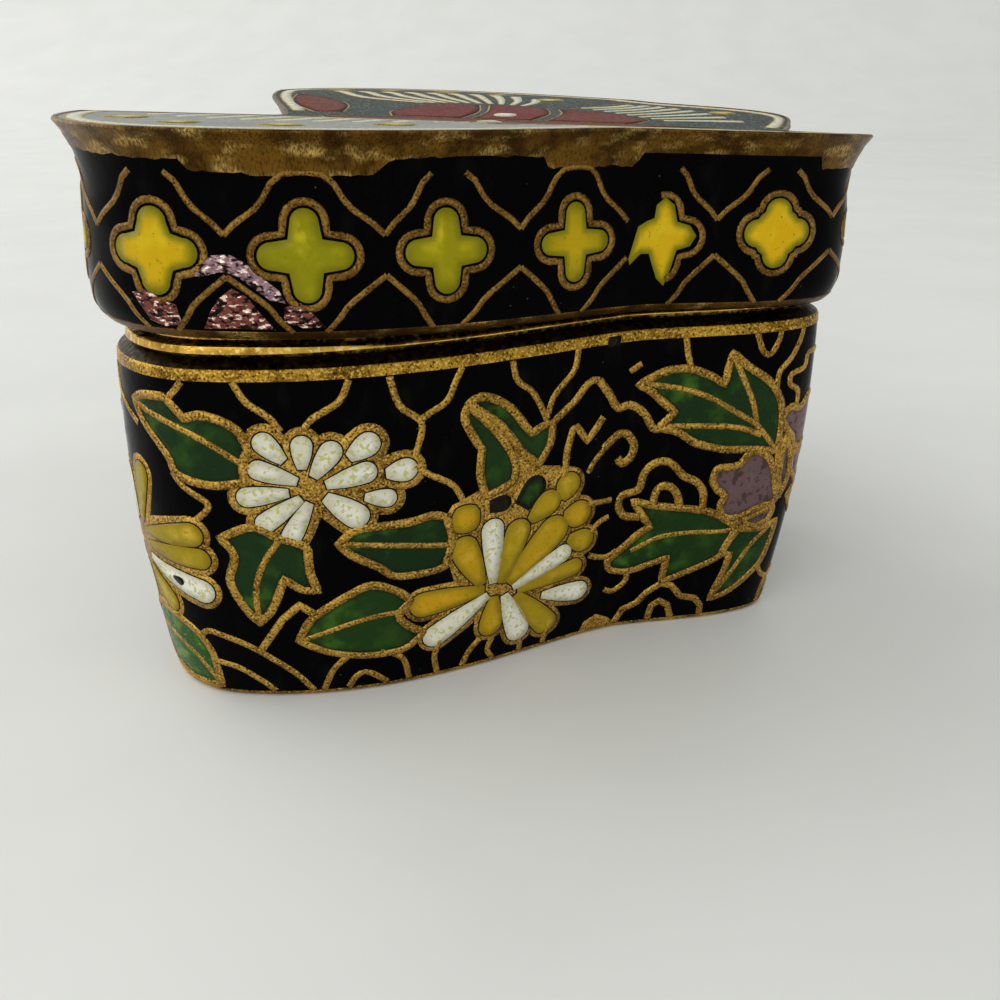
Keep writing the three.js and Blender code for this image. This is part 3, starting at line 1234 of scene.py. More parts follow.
@dataclass
class BaseShell:
    """Hollow lower half: walls, floor and shoulder."""

    wall: BaseWall
    thickness: float = 1.7
    floor: float = 1.8
    foot: float = 0.35
    foot_strip: float = 0.5
    edge_strip: float = 28.7
    step: float = 0.05
    lap: float = 0.03
    rows: int = 24

    def build(self) -> Piece:
        """Makes the shell, with its brass strips and turquoise lining."""
        wall = self.wall
        black, brass, lining, tarnish_and_shade = 0, 1, 2, 3
        under = wall.even(-self.foot, 0.0)
        rings = [wall.bent(ring) for ring in (*folded(under, TOP_SHARES)[::-1], under)]
        bands = [lining] * len(TOP_SHARES)

        def rise(offset: float, height: float, kind: int) -> None:
            """Adds a ring and says what the band below it is."""
            rings.append(wall.ring(offset, height))
            bands.append(kind)

        def follow(height: float, proud: float, kind: int) -> None:
            """Adds a ring that stands proud of the wall."""
            rise(float(wall.swell(height)) + proud, height, kind)

        follow(0.1, -0.12, brass)
        follow(self.foot, self.step, brass)
        follow(self.foot_strip, self.step, brass)
        low, high = self.foot_strip + self.lap, self.edge_strip - self.lap
        rise(float(wall.swell(self.foot_strip)), low, brass)
        for index in range(1, self.rows + 1):
            follow(low + (high - low) * index / self.rows, 0.0, black)
        follow(self.edge_strip, self.step, brass)
        for offset, height in ((1.66, 29.1), (1.64, 29.35), (1.5, 29.55)):
            rise(offset, height, brass)
        # The shoulder bands take the dark brass: painted shade of the gap under the lid, with tarnish.
        for offset, height in ((1.4, 29.62), (0.75, 30.0), (0.25, 30.15)):
            rise(offset, height, tarnish_and_shade)
        rise(float(wall.swell(wall.height)) - self.thickness, 30.05, tarnish_and_shade)
        for height in (28.0, 24.0, 19.0, 14.0, 9.0, 5.0, 2.6):
            follow(height, -self.thickness, lining)
        floor = wall.even(float(wall.swell(self.floor)) - self.thickness - 0.6, self.floor)
        for ring in (floor, *folded(floor, TOP_SHARES)):
            rings.append(wall.bent(ring))
            bands.append(lining)
        finishes = [
            PALETTE.of(BlackGlaze()), PALETTE.of(EDGE_BRASS), PALETTE.of(Glaze.TURQUOISE.value),
            PALETTE.of(SHOULDER_TARNISH_AND_SHADE)
        ]
        shell = lofted("base_shell", rings, bands, finishes)
        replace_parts(settled(shell), "base")
        LOG.info("base_shell: %d faces", len(shell.data.polygons))
        return shell


@dataclass
class Collar:
    """Brass sleeve that stands in the base and carries the lid."""

    wall: BaseWall
    face: float = -0.4
    seat: float = 30.45
    bottom: float = 24.0
    top: float = 36.65
    thickness: float = 0.7
    bold_until: float = -32.0

    def build(self) -> Piece:
        """Makes the sleeve."""
        face, seat, top = self.face, self.seat, self.top
        below = ((face, self.bottom), (face, 27.0), (face, seat))
        slight = (
            (face + 0.72, seat), (face + 0.84, seat + 0.06), (face + 0.84, seat + 0.14),
            (face + 0.74, seat + 0.3), (face + 0.5, seat + 0.42), (face + 0.25, seat + 0.6),
            (face + 0.12, seat + 0.9)
        )
        bold = (
            (face + 1.1, seat), (face + 1.24, seat + 0.06), (face + 1.24, seat + 0.14),
            (face + 1.12, seat + 0.6), (face + 1.02, seat + 0.68), (face + 0.5, seat + 0.72),
            (face + 0.2, seat + 0.9)
        )
        above = (
            (face, seat + 1.5), (face, seat + 3.0), (face, top - 1.2), (face + 0.28, top - 0.1),
            (face + 0.22, top), (face - self.thickness + 0.45, top), (face - self.thickness, top - 1.2),
            (face - self.thickness, self.bottom)
        )
        outline = self.wall.outline
        s = outline.round_trip()
        near = np.where(s <= outline.tail, s, 2 * outline.tail - s)
        share = np.interp(near, (self.bold_until, self.bold_until + 10), (1.0, 0.0))[:, None]
        rings = [self.wall.ring(*spot) for spot in below]
        for thin, thick in zip(slight, bold):
            rings.append((1 - share) * self.wall.ring(*thin) + share * self.wall.ring(*thick))
        rings += [self.wall.ring(*spot) for spot in above]
        sleeve = lofted("collar_sleeve", rings, [0] * len(rings), [PALETTE.of(LIT_COLLAR_BRASS)], True)
        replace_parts(settled(sleeve), "collar")
        return sleeve


# ---- lid ----


@dataclass
class LidShell:
    """Hollow lid: flared wall, rim and shallow valley between the wings."""

    wall: LidWall
    bore: float = 0.35
    crown: float = 1.7
    edge_strip: float = 0.7
    rim_from: float = 12.6
    step: float = 0.05
    rows: int = 22

    def build(self) -> Piece:
        """Makes the shell."""
        wall = self.wall
        black, brass, lining, sky = 0, 1, 2, 3
        ceiling = wall.height - self.crown
        rings: list[Array] = []
        bands: list[int] = []

        def add(ring: Array, kind: int) -> None:
            """Adds a ring and says what the band before it is."""
            rings.append(ring)
            bands.append(kind)

        for share in TOP_SHARES[::-1]:
            add(self.field_ring(self.bore - 0.8, ceiling, share), lining)
        for offset, level in (
            (self.bore - 0.8, ceiling), (self.bore - 0.2, ceiling - 0.8), (self.bore, 7.0),
            (self.bore, 4.0), (self.bore + 0.15, 1.0)
        ):
            add(wall.ring(offset, level), lining)
        for offset, level in ((0.5, 0.15), (0.65, 0.0), (1.7, 0.0)):
            add(wall.ring(offset, level), brass)
        rows = np.linspace(self.edge_strip + 0.04, self.rim_from, self.rows)
        levels = np.concatenate([[0.12, 0.3, 0.5, self.edge_strip], rows])
        s = wall.outline.round_trip()
        for level in levels:
            proud = self.step if level <= self.edge_strip else 0.0
            add(wall.place(s, np.full(len(s), level), proud), brass if proud else black)
        bands[-self.rows] = brass
        for level in (12.75, 13.0, 13.3, 13.6, 13.85, 14.05, 14.17):
            add(wall.place(s, np.full(len(s), level), 0.0), brass)
        for offset, level in ((3.8, 14.28), (3.72, 14.35), (3.42, 14.35)):
            add(wall.ring(offset, level), brass)
        add(self.field_ring(3.4, wall.height - 0.06, 1.0), brass)
        for share in TOP_SHARES:
            add(self.field_ring(3.4, wall.height - 0.06, share), sky)
        finishes = [
            PALETTE.of(BlackGlaze()), PALETTE.of(RIM_BRASS), PALETTE.of(Glaze.TURQUOISE.value),
            PALETTE.of(Glaze.GREY_BLUE.value)
        ]
        shell = lofted("lid_shell", rings, bands[1:], finishes)
        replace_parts(settled(shell), "lid")
        LOG.info("lid_shell: %d faces", len(shell.data.polygons))
        return shell

    def field_ring(self, offset: float, level: float, share: float) -> Array:
        """A ring of the top or ceiling, share of the way out from the body line."""
        foot = self.wall.outline.foot(self.wall.outline.round_trip())
        x = foot[:, 0] + foot[:, 2] * offset + self.wall.outline.shift
        y = share * (foot[:, 1] + foot[:, 3] * offset)
        spine = np.clip(x, -12, 16)
        x = spine + share * (x - spine)
        return self.wall.settle(x, y, level - self.wall.drop(y))


@dataclass
class RimBand:
    """Brass below the rim, filed to an uneven lower edge."""

    wall: LidWall
    steps: Path = (
        (-77.7, 12.3), (-60.0, 12.1), (-46.0, 12.5), (-34.2, 12.3), (-34.0, 11.7), (-29.3, 11.4),
        (-21.8, 11.4), (-21.3, 12.4), (-15.6, 12.7), (-9.5, 12.4), (-9.0, 11.6), (-1.3, 11.6),
        (-0.9, 12.85), (14.2, 12.85), (14.7, 11.6), (24.0, 11.7), (31.6, 12.2)
    )
    upper: float = 13.4
    proud: float = 0.05

    def build(self) -> Piece:
        """Makes the band."""
        s = self.wall.outline.round_trip()
        tail = self.wall.outline.tail
        near = np.where(s <= tail, s, 2 * tail - s)
        known = np.array(self.steps)
        lower = np.interp(near, known[:, 0], known[:, 1])
        lower = lower + 0.09 * np.sin(2.3 * s) * np.sin(0.71 * s + 1) + 0.05 * np.sin(5.1 * s)
        high = np.full(len(s), self.upper)
        rings = [self.wall.place(s, lower, -0.06), self.wall.place(s, lower, self.proud)]
        for share in (0.25, 0.5, 0.75):
            rings.append(self.wall.place(s, lower + share * (high - lower), self.proud))
        rings += [self.wall.place(s, high, 0.003), self.wall.place(s, high, -0.06)]
        band = lofted("lid_rim_band", rings, [0] * len(rings), [PALETTE.of(RIM_BRASS)], True)
        return settled(band)


# ---- patterns ----


@dataclass(frozen=True)
class Leaf:
    """A leaf: stretches of its edge that meet in corners, the wires inside it, root and tip."""

    edge: tuple[Path, ...]
    ribs: tuple[Path, ...]
    root: Point
    tip: Point
    tint: float = 0.0
    glaze: Glaze = Glaze.LEAF


@dataclass(frozen=True)
class Petal:
    """A petal from root to tip."""

    root: Point
    tip: Point
    width: float
    glaze: Glaze
    tint: float = 0.0
    waist: float = 0.3


@dataclass(frozen=True)
class Round:
    """A small round petal or bud."""

    centre: Point
    width: float
    height: float
    glaze: Glaze
    tint: float = 0.0


@dataclass
class Spray:
    """Part of a pattern: leaves, petals, rounds, blossoms, brass patches and loose wires."""

    leaves: tuple[Leaf, ...] = ()
    petals: tuple[Petal, ...] = ()
    rounds: tuple[Round, ...] = ()
    clouds: tuple[Path, ...] = ()
    corners: tuple[Path, ...] = ()
    blossoms: tuple[tuple[Path, float], ...] = ()
    patches: tuple[Path, ...] = ()
    arches: tuple[Path, ...] = ()
    padding: float = 0.62
    seam: float = 0.12

    def cells(self) -> list[Cell]:
        """The enamel of the spray."""
        made = [
            Cell(joined(*leaf.edge), leaf.glaze, leaf.tint, leaf.root, leaf.tip) for leaf in self.leaves
        ]
        for p in self.petals:
            shape = petal_outline(p.root, p.tip, p.width, p.waist)
            made.append(Cell(shape, p.glaze, p.tint, p.root, p.tip, 0.07))
            ends = self.beyond(p.root, p.tip, self.seam)
            wider = petal_outline(*ends, p.width + 2 * self.seam, p.waist)
            made.append(Cell(wider, Glaze.SEAM, proud=0.05, dish=0))
        for r in self.rounds:
            wider = blob_outline(r.centre, r.width + 2 * self.seam, r.height + 2 * self.seam)
            made.append(Cell(blob_outline(r.centre, r.width, r.height), r.glaze, r.tint, proud=0.07))
            made.append(Cell(wider, Glaze.SEAM, proud=0.05, dish=0))
        made += [Cell(outline, Glaze.MAUVE, tint, proud=0.05) for outline, tint in self.blossoms]
        return made

    def fills(self) -> list[Path]:
        """Brass that fills the gaps between petals."""
        made = [
            petal_outline(*self.beyond(p.root, p.tip, self.padding), p.width + 2 * self.padding, 0.75)
            for p in self.petals
        ]
        made += [
            blob_outline(r.centre, r.width + 2 * self.padding, r.height + 2 * self.padding)
            for r in self.rounds
        ]
        return made + list(self.patches)

    @staticmethod
    def beyond(root: Point, tip: Point, reach: float) -> tuple[Point, Point]:
        """Root and tip moved apart by twice the reach."""
        share = reach / math.dist(root, tip)
        dx, dy = share * (tip[0] - root[0]), share * (tip[1] - root[1])
        return (root[0] - dx, root[1] - dy), (tip[0] + dx, tip[1] + dy)

    def wires(self) -> list[Wire]:
        """The wires of the spray."""
        made = [Wire(joined(*leaf.edge), 0.82, True) for leaf in self.leaves]
        made += [Wire(eased(rib), 0.6) for leaf in self.leaves for rib in leaf.ribs]
        made += [Wire(outline, 0.8, True) for outline, _ in self.blossoms]
        made += [Wire(eased(cloud), 0.62) for cloud in self.clouds]
        made += [Wire(eased(arch), 0.85) for arch in self.arches]
        made += [Wire(line, 0.75) for line in self.corners]
        return made


# White flower with the pointed leaf and the trefoil leaf beside it.
WHITE_PETALS = (
    ((-29.3, 22.5), (-31.3, 24.6), 1.7), ((-28.0, 21.8), (-27.9, 24.5), 1.6),
    ((-27.2, 21.1), (-25.3, 23.8), 1.75), ((-26.3, 20.4), (-22.4, 21.4), 1.75),
    ((-26.4, 19.4), (-23.3, 16.9), 2.1), ((-27.6, 19.0), (-29.5, 15.5), 1.6),
    ((-28.2, 19.4), (-31.7, 16.9), 1.65), ((-29.1, 19.9), (-33.1, 19.5), 1.65),
    ((-28.4, 20.8), (-32.0, 22.1), 1.6), ((-24.5, 22.5), (-22.2, 24.0), 1.9),
    ((-21.7, 20.9), (-19.2, 21.1), 1.9), ((-23.4, 19.1), (-20.9, 18.7), 1.5)
)
WHITE_TINTS = (0.3, 0.9, 0.5, 0.2, 0.4, 0.1, 0.6, 0.2, 0.3, 0.2, 0.3, 0.1)
WHITE_CHRYSANTHEMUM = Spray(
    leaves=(
        Leaf(
            looped(
                ((-40.5, 27.1), (-38.3, 27.3)), ((-37.2, 26.4), (-36.7, 25.8)),
                ((-35.0, 26.1), (-32.7, 25.1), (-31.9, 23.5)), ((-32.4, 22.2), (-32.3, 20.8)),
                ((-35.0, 20.5), (-37.7, 21.2), (-38.5, 22.7), (-41.0, 25.2), (-41.9, 26.5))
            ),
            (((-41.5, 26.3), (-36.4, 24.7), (-31.9, 22.0)),), (-32.5, 22.5), (-41.5, 26.2), 0.1
        ),
        Leaf(
            looped(
                ((-32.2, 17.0), (-34.8, 16.0)), ((-33.8, 14.4), (-34.4, 12.0), (-33.5, 9.5), (-32.4, 8.0)),
                ((-31.2, 9.4), (-30.0, 12.3)), ((-28.8, 11.3), (-27.4, 11.0)),
                ((-27.9, 12.6), (-28.0, 14.0), (-28.2, 15.2), (-30.3, 16.1))
            ),
            (((-29.9, 16.2), (-31.6, 13.6), (-32.4, 11.0), (-32.4, 8.0)),), (-30.0, 16.0), (-32.4, 8.0),
            0.2
        )
    ),
    petals=tuple(
        Petal(root, tip, width, WHITE, tint, 0.42)
        for (root, tip, width), tint in zip(WHITE_PETALS, WHITE_TINTS)
    ),
    patches=(
        arc((-27.9, 20.2), 2.6, 0, 330, 11),
        ((-26.0, 18.6), (-25.0, 22.4), (-22.4, 22.2), (-21.6, 18.9), (-23.6, 17.6))
    ),
    padding=0.72,
    clouds=(
        ((-36.6, 28.6), (-37.2, 27.9), (-37.9, 27.2)),
        ((-32.7, 28.7), (-31.8, 27.2), (-30.2, 26.0), (-29.4, 24.9)),
        ((-24.2, 28.6), (-25.0, 27.0), (-27.0, 25.8), (-27.7, 25.0)),
        ((-21.2, 28.6), (-20.5, 26.3), (-19.0, 25.0), (-18.8, 24.0), (-19.4, 22.0)),
        ((-15.4, 28.7), (-16.0, 27.6), (-16.7, 26.2), (-18.1, 25.4), (-19.0, 24.9)),
        ((-19.4, 21.2), (-18.2, 20.3), (-16.3, 19.1), (-15.4, 17.6))
    )
)


# Yellow and white flower with its three leaves.
LONG_PETALS = (
    ((-13.4, 9.0), (-15.7, 14.1), 2.3, OCHRE, 0.3), ((-12.3, 8.9), (-12.7, 15.3), 1.9, WHITE, 0.2),
    ((-11.5, 8.7), (-9.9, 14.7), 2.2, OCHRE, 0.6), ((-10.8, 8.5), (-5.6, 13.8), 2.8, OCHRE, 0.3),
    ((-10.3, 7.9), (-4.6, 10.5), 1.7, WHITE, 0.2), ((-9.8, 7.4), (-3.2, 8.5), 1.7, OCHRE, 0.5),
    ((-7.2, 6.2), (-2.3, 5.4), 1.9, WHITE, 0.1), ((-9.9, 7.1), (-5.7, 2.0), 2.2, OCHRE, 0.7),
    ((-11.1, 7.4), (-8.9, 1.9), 2.1, WHITE, 0.2), ((-12.1, 7.5), (-12.3, 3.3), 2.1, OCHRE, 0.2),
    ((-12.7, 7.8), (-18.5, 4.1), 2.1, WHITE, 0.5), ((-13.1, 8.5), (-19.9, 8.2), 2.3, OCHRE, 0.0),
    ((-9.1, 14.3), (-6.4, 16.4), 2.2, OCHRE, 0.5), ((-6.0, 15.6), (-5.0, 18.0), 2.2, OCHRE, 0.6),
    ((-5.7, 14.0), (-2.9, 13.7), 2.4, OCHRE, 0.2), ((-5.0, 11.6), (-2.4, 10.6), 2.1, OCHRE, 0.5)
)
BUDS = (
    ((-9.9, 15.9), (-8.2, 18.2), 2.0, Glaze.LEAF, 1.0),
    ((-12.9, 16.5), (-11.1, 16.6), 1.3, Glaze.SEAM, 0.0)
)
OCHRE_CHRYSANTHEMUM = Spray(
    leaves=(
        Leaf(
            looped(
                ((-28.0, 8.3), (-25.0, 10.3), (-23.0, 11.0), (-21.0, 10.1), (-19.8, 9.0)),
                ((-20.8, 7.6), (-20.0, 6.4), (-18.6, 5.4)),
                ((-20.0, 4.2), (-21.5, 3.9), (-24.0, 4.0), (-27.0, 4.8), (-29.3, 6.1))
            ),
            (((-29.2, 6.1), (-24.0, 7.7), (-19.8, 8.1)),), (-20.0, 7.8), (-29.0, 6.2), 0.6
        ),
        Leaf(
            looped(
                ((-13.9, 24.5), (-12.6, 23.1), (-11.4, 21.4), (-10.7, 19.8), (-10.8, 18.4)),
                ((-12.0, 17.9), (-13.4, 17.5)), ((-13.9, 19.4), (-13.9, 20.7), (-13.8, 21.7)),
                ((-14.7, 23.2), (-15.3, 24.6), (-15.0, 25.6))
            ),
            (), (-12.0, 18.4), (-15.0, 25.4), 0.35
        ),
        Leaf(
            looped(
                ((-14.0, 26.1), (-12.8, 25.8), (-11.3, 24.8), (-10.1, 23.3), (-9.3, 22.3)),
                ((-8.4, 22.7), (-7.3, 22.9)), ((-7.5, 21.1), (-8.5, 19.4)),
                ((-9.8, 20.5), (-11.2, 22.3), (-12.6, 23.9), (-15.0, 25.7))
            ),
            (), (-8.4, 20.0), (-14.6, 25.6), 0.6
        ),
        Leaf(
            looped(
                ((-24.0, 16.3), (-20.0, 16.4), (-18.0, 16.7), (-16.8, 16.3)),
                ((-16.3, 14.2), (-16.8, 11.8)),
                ((-18.0, 11.5), (-21.0, 11.6), (-22.5, 12.7), (-24.5, 14.0), (-25.6, 15.2))
            ),
            (((-25.5, 15.2), (-20.5, 14.4), (-16.5, 13.7)),), (-16.8, 13.9), (-25.3, 15.2), 0.0
        )
    ),
    petals=tuple(
        Petal(root, tip, 1.08 * width, glaze, tint, 0.34) for root, tip, width, glaze, tint in LONG_PETALS
    ) + tuple(Petal(*bud, 0.75) for bud in BUDS),
    rounds=(Round((-15.1, 15.8), 2.6, 2.7, OCHRE, 0.2),),
    patches=(
        arc((-11.6, 8.4), 2.9, 0, 330, 11),
        ((-17.0, 13.6), (-16.2, 17.3), (-13.9, 18.2), (-13.4, 17.0), (-10.8, 18.2), (-10.6, 19.9),
         (-12.1, 22.4), (-11.2, 22.0), (-8.5, 19.3), (-6.4, 18.9), (-4.0, 15.6), (-3.4, 11.4), (-6.0, 7.6),
         (-8.0, 4.4), (-11.0, 5.4), (-14.4, 6.6), (-16.0, 10.0))
    ),
    padding=0.5,
    clouds=(
        ((-11.1, 28.6), (-10.7, 27.0), (-9.4, 25.9), (-8.6, 24.7), (-7.9, 23.2)),
        ((-5.0, 28.7), (-5.4, 27.0), (-7.2, 25.2), (-7.9, 23.4)),
        ((-3.3, 14.6), (-2.0, 14.5), (-0.8, 14.5)), ((-2.6, 11.7), (-1.8, 12.5), (-0.9, 12.8)),
        ((-2.6, 9.2), (-1.4, 8.7), (-0.5, 8.6), (0.3, 9.0)),
        ((1.5, 6.9), (1.6, 5.5), (0.5, 4.5), (-0.4, 4.9)),
        ((-3.5, 17.6), (-2.9, 18.6), (-1.7, 19.8), (-0.8, 20.6))
    ),
    arches=(
        ((-2.1, 19.6), (-1.5, 20.1), (-0.6, 20.7), (0.3, 20.5), (1.0, 19.4), (0.7, 18.3), (-0.1, 17.9),
         (-0.6, 18.5)),
        ((-2.9, 25.8), (-1.8, 24.4), (-0.9, 23.1), (0.3, 23.2), (1.7, 22.3), (2.6, 20.9), (3.3, 20.8))
    ),
    corners=(
        ((-7.3, 22.9), (-5.2, 24.4), (-4.1, 25.6), (-3.5, 25.9), (-2.9, 25.8)),
        ((-5.9, 17.8), (-5.8, 20.1), (-5.3, 22.0), (-4.9, 22.1), (-3.8, 20.6), (-2.9, 21.7), (-2.3, 22.5))
    )
)


# Mauve flowers of the smaller wing with serrated leaves.
BLOSSOMS = (
    (
        eased(
            ((8.7, 15.3), (9.0, 16.5), (10.1, 16.6), (11.2, 16.8), (11.9, 17.7), (12.9, 17.8),
             (14.0, 17.1), (14.8, 15.8), (15.3, 14.2), (15.8, 12.4), (14.0, 12.1), (12.6, 11.6),
             (11.2, 11.3), (10.1, 11.8), (9.8, 12.8), (10.1, 13.7), (9.3, 14.4))
        ),
        0.2
    ),
    (eased(((15.6, 16.9), (15.8, 18.6), (16.6, 17.2), (17.0, 14.6), (16.3, 13.0), (15.7, 14.6))), 0.7),
    (
        eased(
            ((15.6, 19.6), (15.0, 20.8), (15.8, 21.6), (17.2, 21.3), (18.4, 22.2), (20.2, 21.8),
             (20.6, 20.2), (21.6, 18.8), (20.6, 17.4), (19.0, 17.6), (17.2, 17.5), (16.6, 18.6))
        ),
        0.9
    ),
    (eased(((17.0, 16.8), (18.6, 17.0), (20.0, 16.4), (20.4, 14.6), (18.8, 13.9), (17.3, 14.9))), 1.0),
    (eased(((12.6, 11.1), (14.2, 11.6), (15.6, 11.8), (15.4, 10.6), (14.0, 10.1), (12.8, 10.4))), 1.0)
)
MAUVE_FLOWERS = Spray(
    leaves=(
        Leaf(
            looped(
                ((3.4, 25.9), (5.5, 26.0), (7.6, 25.2), (8.8, 24.4)), ((9.0, 25.9), (9.3, 27.2)),
                ((10.8, 25.9), (13.1, 24.3), (14.5, 22.3), (14.9, 19.8), (14.8, 17.6)),
                ((12.2, 18.1), (9.4, 18.4), (6.7, 19.2), (5.0, 20.3), (3.1, 20.9)),
                ((3.8, 21.5), (4.5, 22.2)), ((3.1, 23.4), (2.1, 24.3), (1.0, 24.9))
            ),
            (
                ((1.0, 25.0), (4.8, 24.3), (7.6, 23.3), (10.5, 21.6), (12.4, 20.3), (14.8, 17.6)),
                ((9.4, 26.9), (11.0, 23.9), (11.8, 22.2), (12.3, 20.4)),
                ((3.2, 21.0), (7.8, 20.7), (10.7, 20.3), (12.9, 19.4))
            ),
            (14.6, 18.0), (2.0, 24.8), 0.15
        ),
        Leaf(
            looped(
                ((1.0, 9.3), (2.4, 10.6), (3.3, 11.1)), ((2.2, 12.8), (1.4, 14.0)),
                ((3.6, 13.3), (6.9, 12.7), (9.3, 12.0), (11.9, 10.2)),
                ((11.1, 8.5), (10.5, 7.2), (7.3, 5.8), (5.1, 5.0)), ((5.2, 6.5), (5.4, 7.7)),
                ((3.6, 7.1), (1.7, 6.6), (0.0, 7.0), (-0.5, 8.0))
            ),
            (((1.7, 8.8), (4.4, 10.0), (7.3, 10.2), (10.2, 10.0), (11.9, 10.2)),), (11.6, 10.0),
            (0.0, 7.6), 0.35
        ),
        Leaf(
            looped(
                ((11.3, 8.7), (10.7, 7.5)), ((11.7, 7.3),), ((11.3, 5.1), (10.4, 2.3)),
                ((12.4, 3.0), (14.4, 4.5), (15.7, 5.8), (16.3, 7.7), (16.6, 10.0)),
                ((14.6, 9.7), (12.1, 10.0))
            ),
            (((10.5, 2.5), (12.3, 5.4), (14.0, 8.2), (16.1, 9.9)),), (15.6, 9.8), (10.8, 3.0), 0.25
        ),
        Leaf(
            looped(((19.4, 13.4), (22.4, 13.4), (25.0, 11.6)), ((22.2, 9.8), (19.6, 10.2), (17.6, 12.4))),
            (((17.6, 12.4), (21.2, 12.0), (25.0, 11.6)),), (17.9, 12.2), (24.8, 11.6), 0.4
        ),
        Leaf(
            looped(((27.3, 11.2), (27.0, 8.4), (28.6, 5.6)), ((30.4, 8.2), (30.6, 11.0), (29.1, 13.6))),
            (((29.1, 13.6), (28.8, 9.8), (28.6, 5.6)),), (29.0, 13.2), (28.7, 6.0), 0.3
        ),
        Leaf(
            looped(((27.6, 21.8), (27.8, 24.2), (29.8, 26.8)), ((30.9, 24.2), (30.6, 21.6), (29.2, 19.6))),
            (((29.2, 19.6), (29.3, 23.2), (29.8, 26.8)),), (29.2, 20.0), (29.7, 26.4), 0.6
        )
    ),
    petals=tuple(
        Petal(
            (29.1 + 0.5 * math.cos(a), 16.6 + 0.5 * math.sin(a)),
            (29.1 + 2.3 * math.cos(a), 16.6 + 2.5 * math.sin(a)), 1.75, WHITE, 0.3, 0.42
        )
        for a in np.linspace(0.3, 0.3 + 2 * math.pi, 6)[:5]
    ),
    blossoms=BLOSSOMS,
    patches=(
        ((-2.4, 0.4), (-2.0, 1.5), (-0.8, 2.1), (0.4, 1.4), (1.2, 0.5)),
        ((14.6, 17.8), (16.0, 19.8), (17.2, 17.6), (17.4, 15.0), (16.6, 12.4), (15.6, 12.2), (15.2, 15.0)),
        ((9.8, 11.0), (12.0, 11.8), (12.6, 10.2), (11.8, 9.6))
    ),
    clouds=(
        ((5.0, 28.7), (5.3, 27.1), (5.7, 26.0)), ((0.1, 26.1), (1.2, 26.7)),
        ((11.4, 28.7), (12.1, 27.1), (12.9, 26.8), (13.6, 28.0), (13.7, 28.7)),
        ((16.3, 28.7), (15.9, 27.5), (15.1, 26.2), (14.0, 25.1), (13.9, 23.7)),
        ((19.6, 26.2), (17.4, 26.3), (17.0, 25.1), (15.4, 24.7), (15.3, 23.8), (16.4, 23.0), (16.5, 21.5)),
        ((22.0, 17.6), (23.4, 19.4), (25.6, 19.2), (26.2, 17.4), (25.0, 16.2), (23.9, 17.0)),
        ((24.6, 28.7), (25.0, 26.6), (26.8, 25.4), (28.6, 24.8)),
        ((17.0, 0.6), (17.6, 3.0), (19.6, 4.0), (21.4, 3.2), (22.8, 4.6), (24.8, 4.2), (25.6, 2.4),
         (25.2, 0.6)),
        ((19.0, 0.6), (19.6, 2.0), (20.8, 2.2), (21.8, 0.6)), ((15.4, 5.4), (16.2, 4.2), (17.6, 3.4)),
        ((26.9, 0.6), (27.4, 2.6), (29.2, 3.7), (30.8, 2.8), (31.6, 2.6)),
        ((28.4, 5.6), (28.9, 4.6), (29.2, 3.7))
    ),
    arches=(
        ((2.2, 12.3), (0.7, 12.6), (0.0, 13.7), (0.3, 14.7), (1.8, 15.1), (2.1, 16.4), (2.7, 17.3),
         (3.8, 17.7), (4.9, 17.2), (5.9, 16.1), (7.2, 15.4), (8.0, 14.2), (8.1, 12.4)),
        ((3.4, 13.2), (3.4, 14.4), (3.9, 15.2), (4.8, 15.1), (5.5, 14.3), (5.9, 13.0))
    ),
    corners=(
        ((1.1, 0.7), (1.7, 2.1), (3.0, 2.7), (3.8, 3.8), (5.1, 4.7), (6.2, 4.4), (7.3, 3.0), (8.8, 2.6),
         (9.6, 1.6), (9.6, 0.6)),
        ((4.3, 0.6), (4.5, 2.1), (5.2, 2.7), (6.1, 2.1), (6.6, 0.6))
    )
)


# Yellow flower at the turn of the forewing, with the bright leaf under it.
CORNER_PETALS = (
    ((-42.9, 14.9), (-36.2, 16.2), 2.1, OCHRE, 1.0), ((-43.0, 13.7), (-35.8, 13.9), 1.9, OCHRE, 0.9),
    ((-43.2, 12.4), (-35.9, 10.5), 2.2, WHITE, 0.1), ((-43.6, 11.3), (-40.5, 8.0), 2.4, OCHRE, 0.9),
    ((-44.9, 11.2), (-45.4, 7.4), 2.3, WHITE, 0.3), ((-43.6, 15.6), (-42.0, 21.2), 2.0, OCHRE, 1.0),
    ((-45.0, 15.4), (-46.0, 20.0), 2.2, WHITE, 0.3), ((-45.8, 14.8), (-49.4, 18.2), 2.3, OCHRE, 0.7),
    ((-46.2, 13.4), (-51.2, 14.0), 2.2, WHITE, 0.3), ((-46.0, 12.2), (-50.4, 9.6), 2.3, OCHRE, 0.8),
    ((-40.0, 11.5), (-38.8, 11.2), 0.8, Glaze.SEAM, 0.0)
)
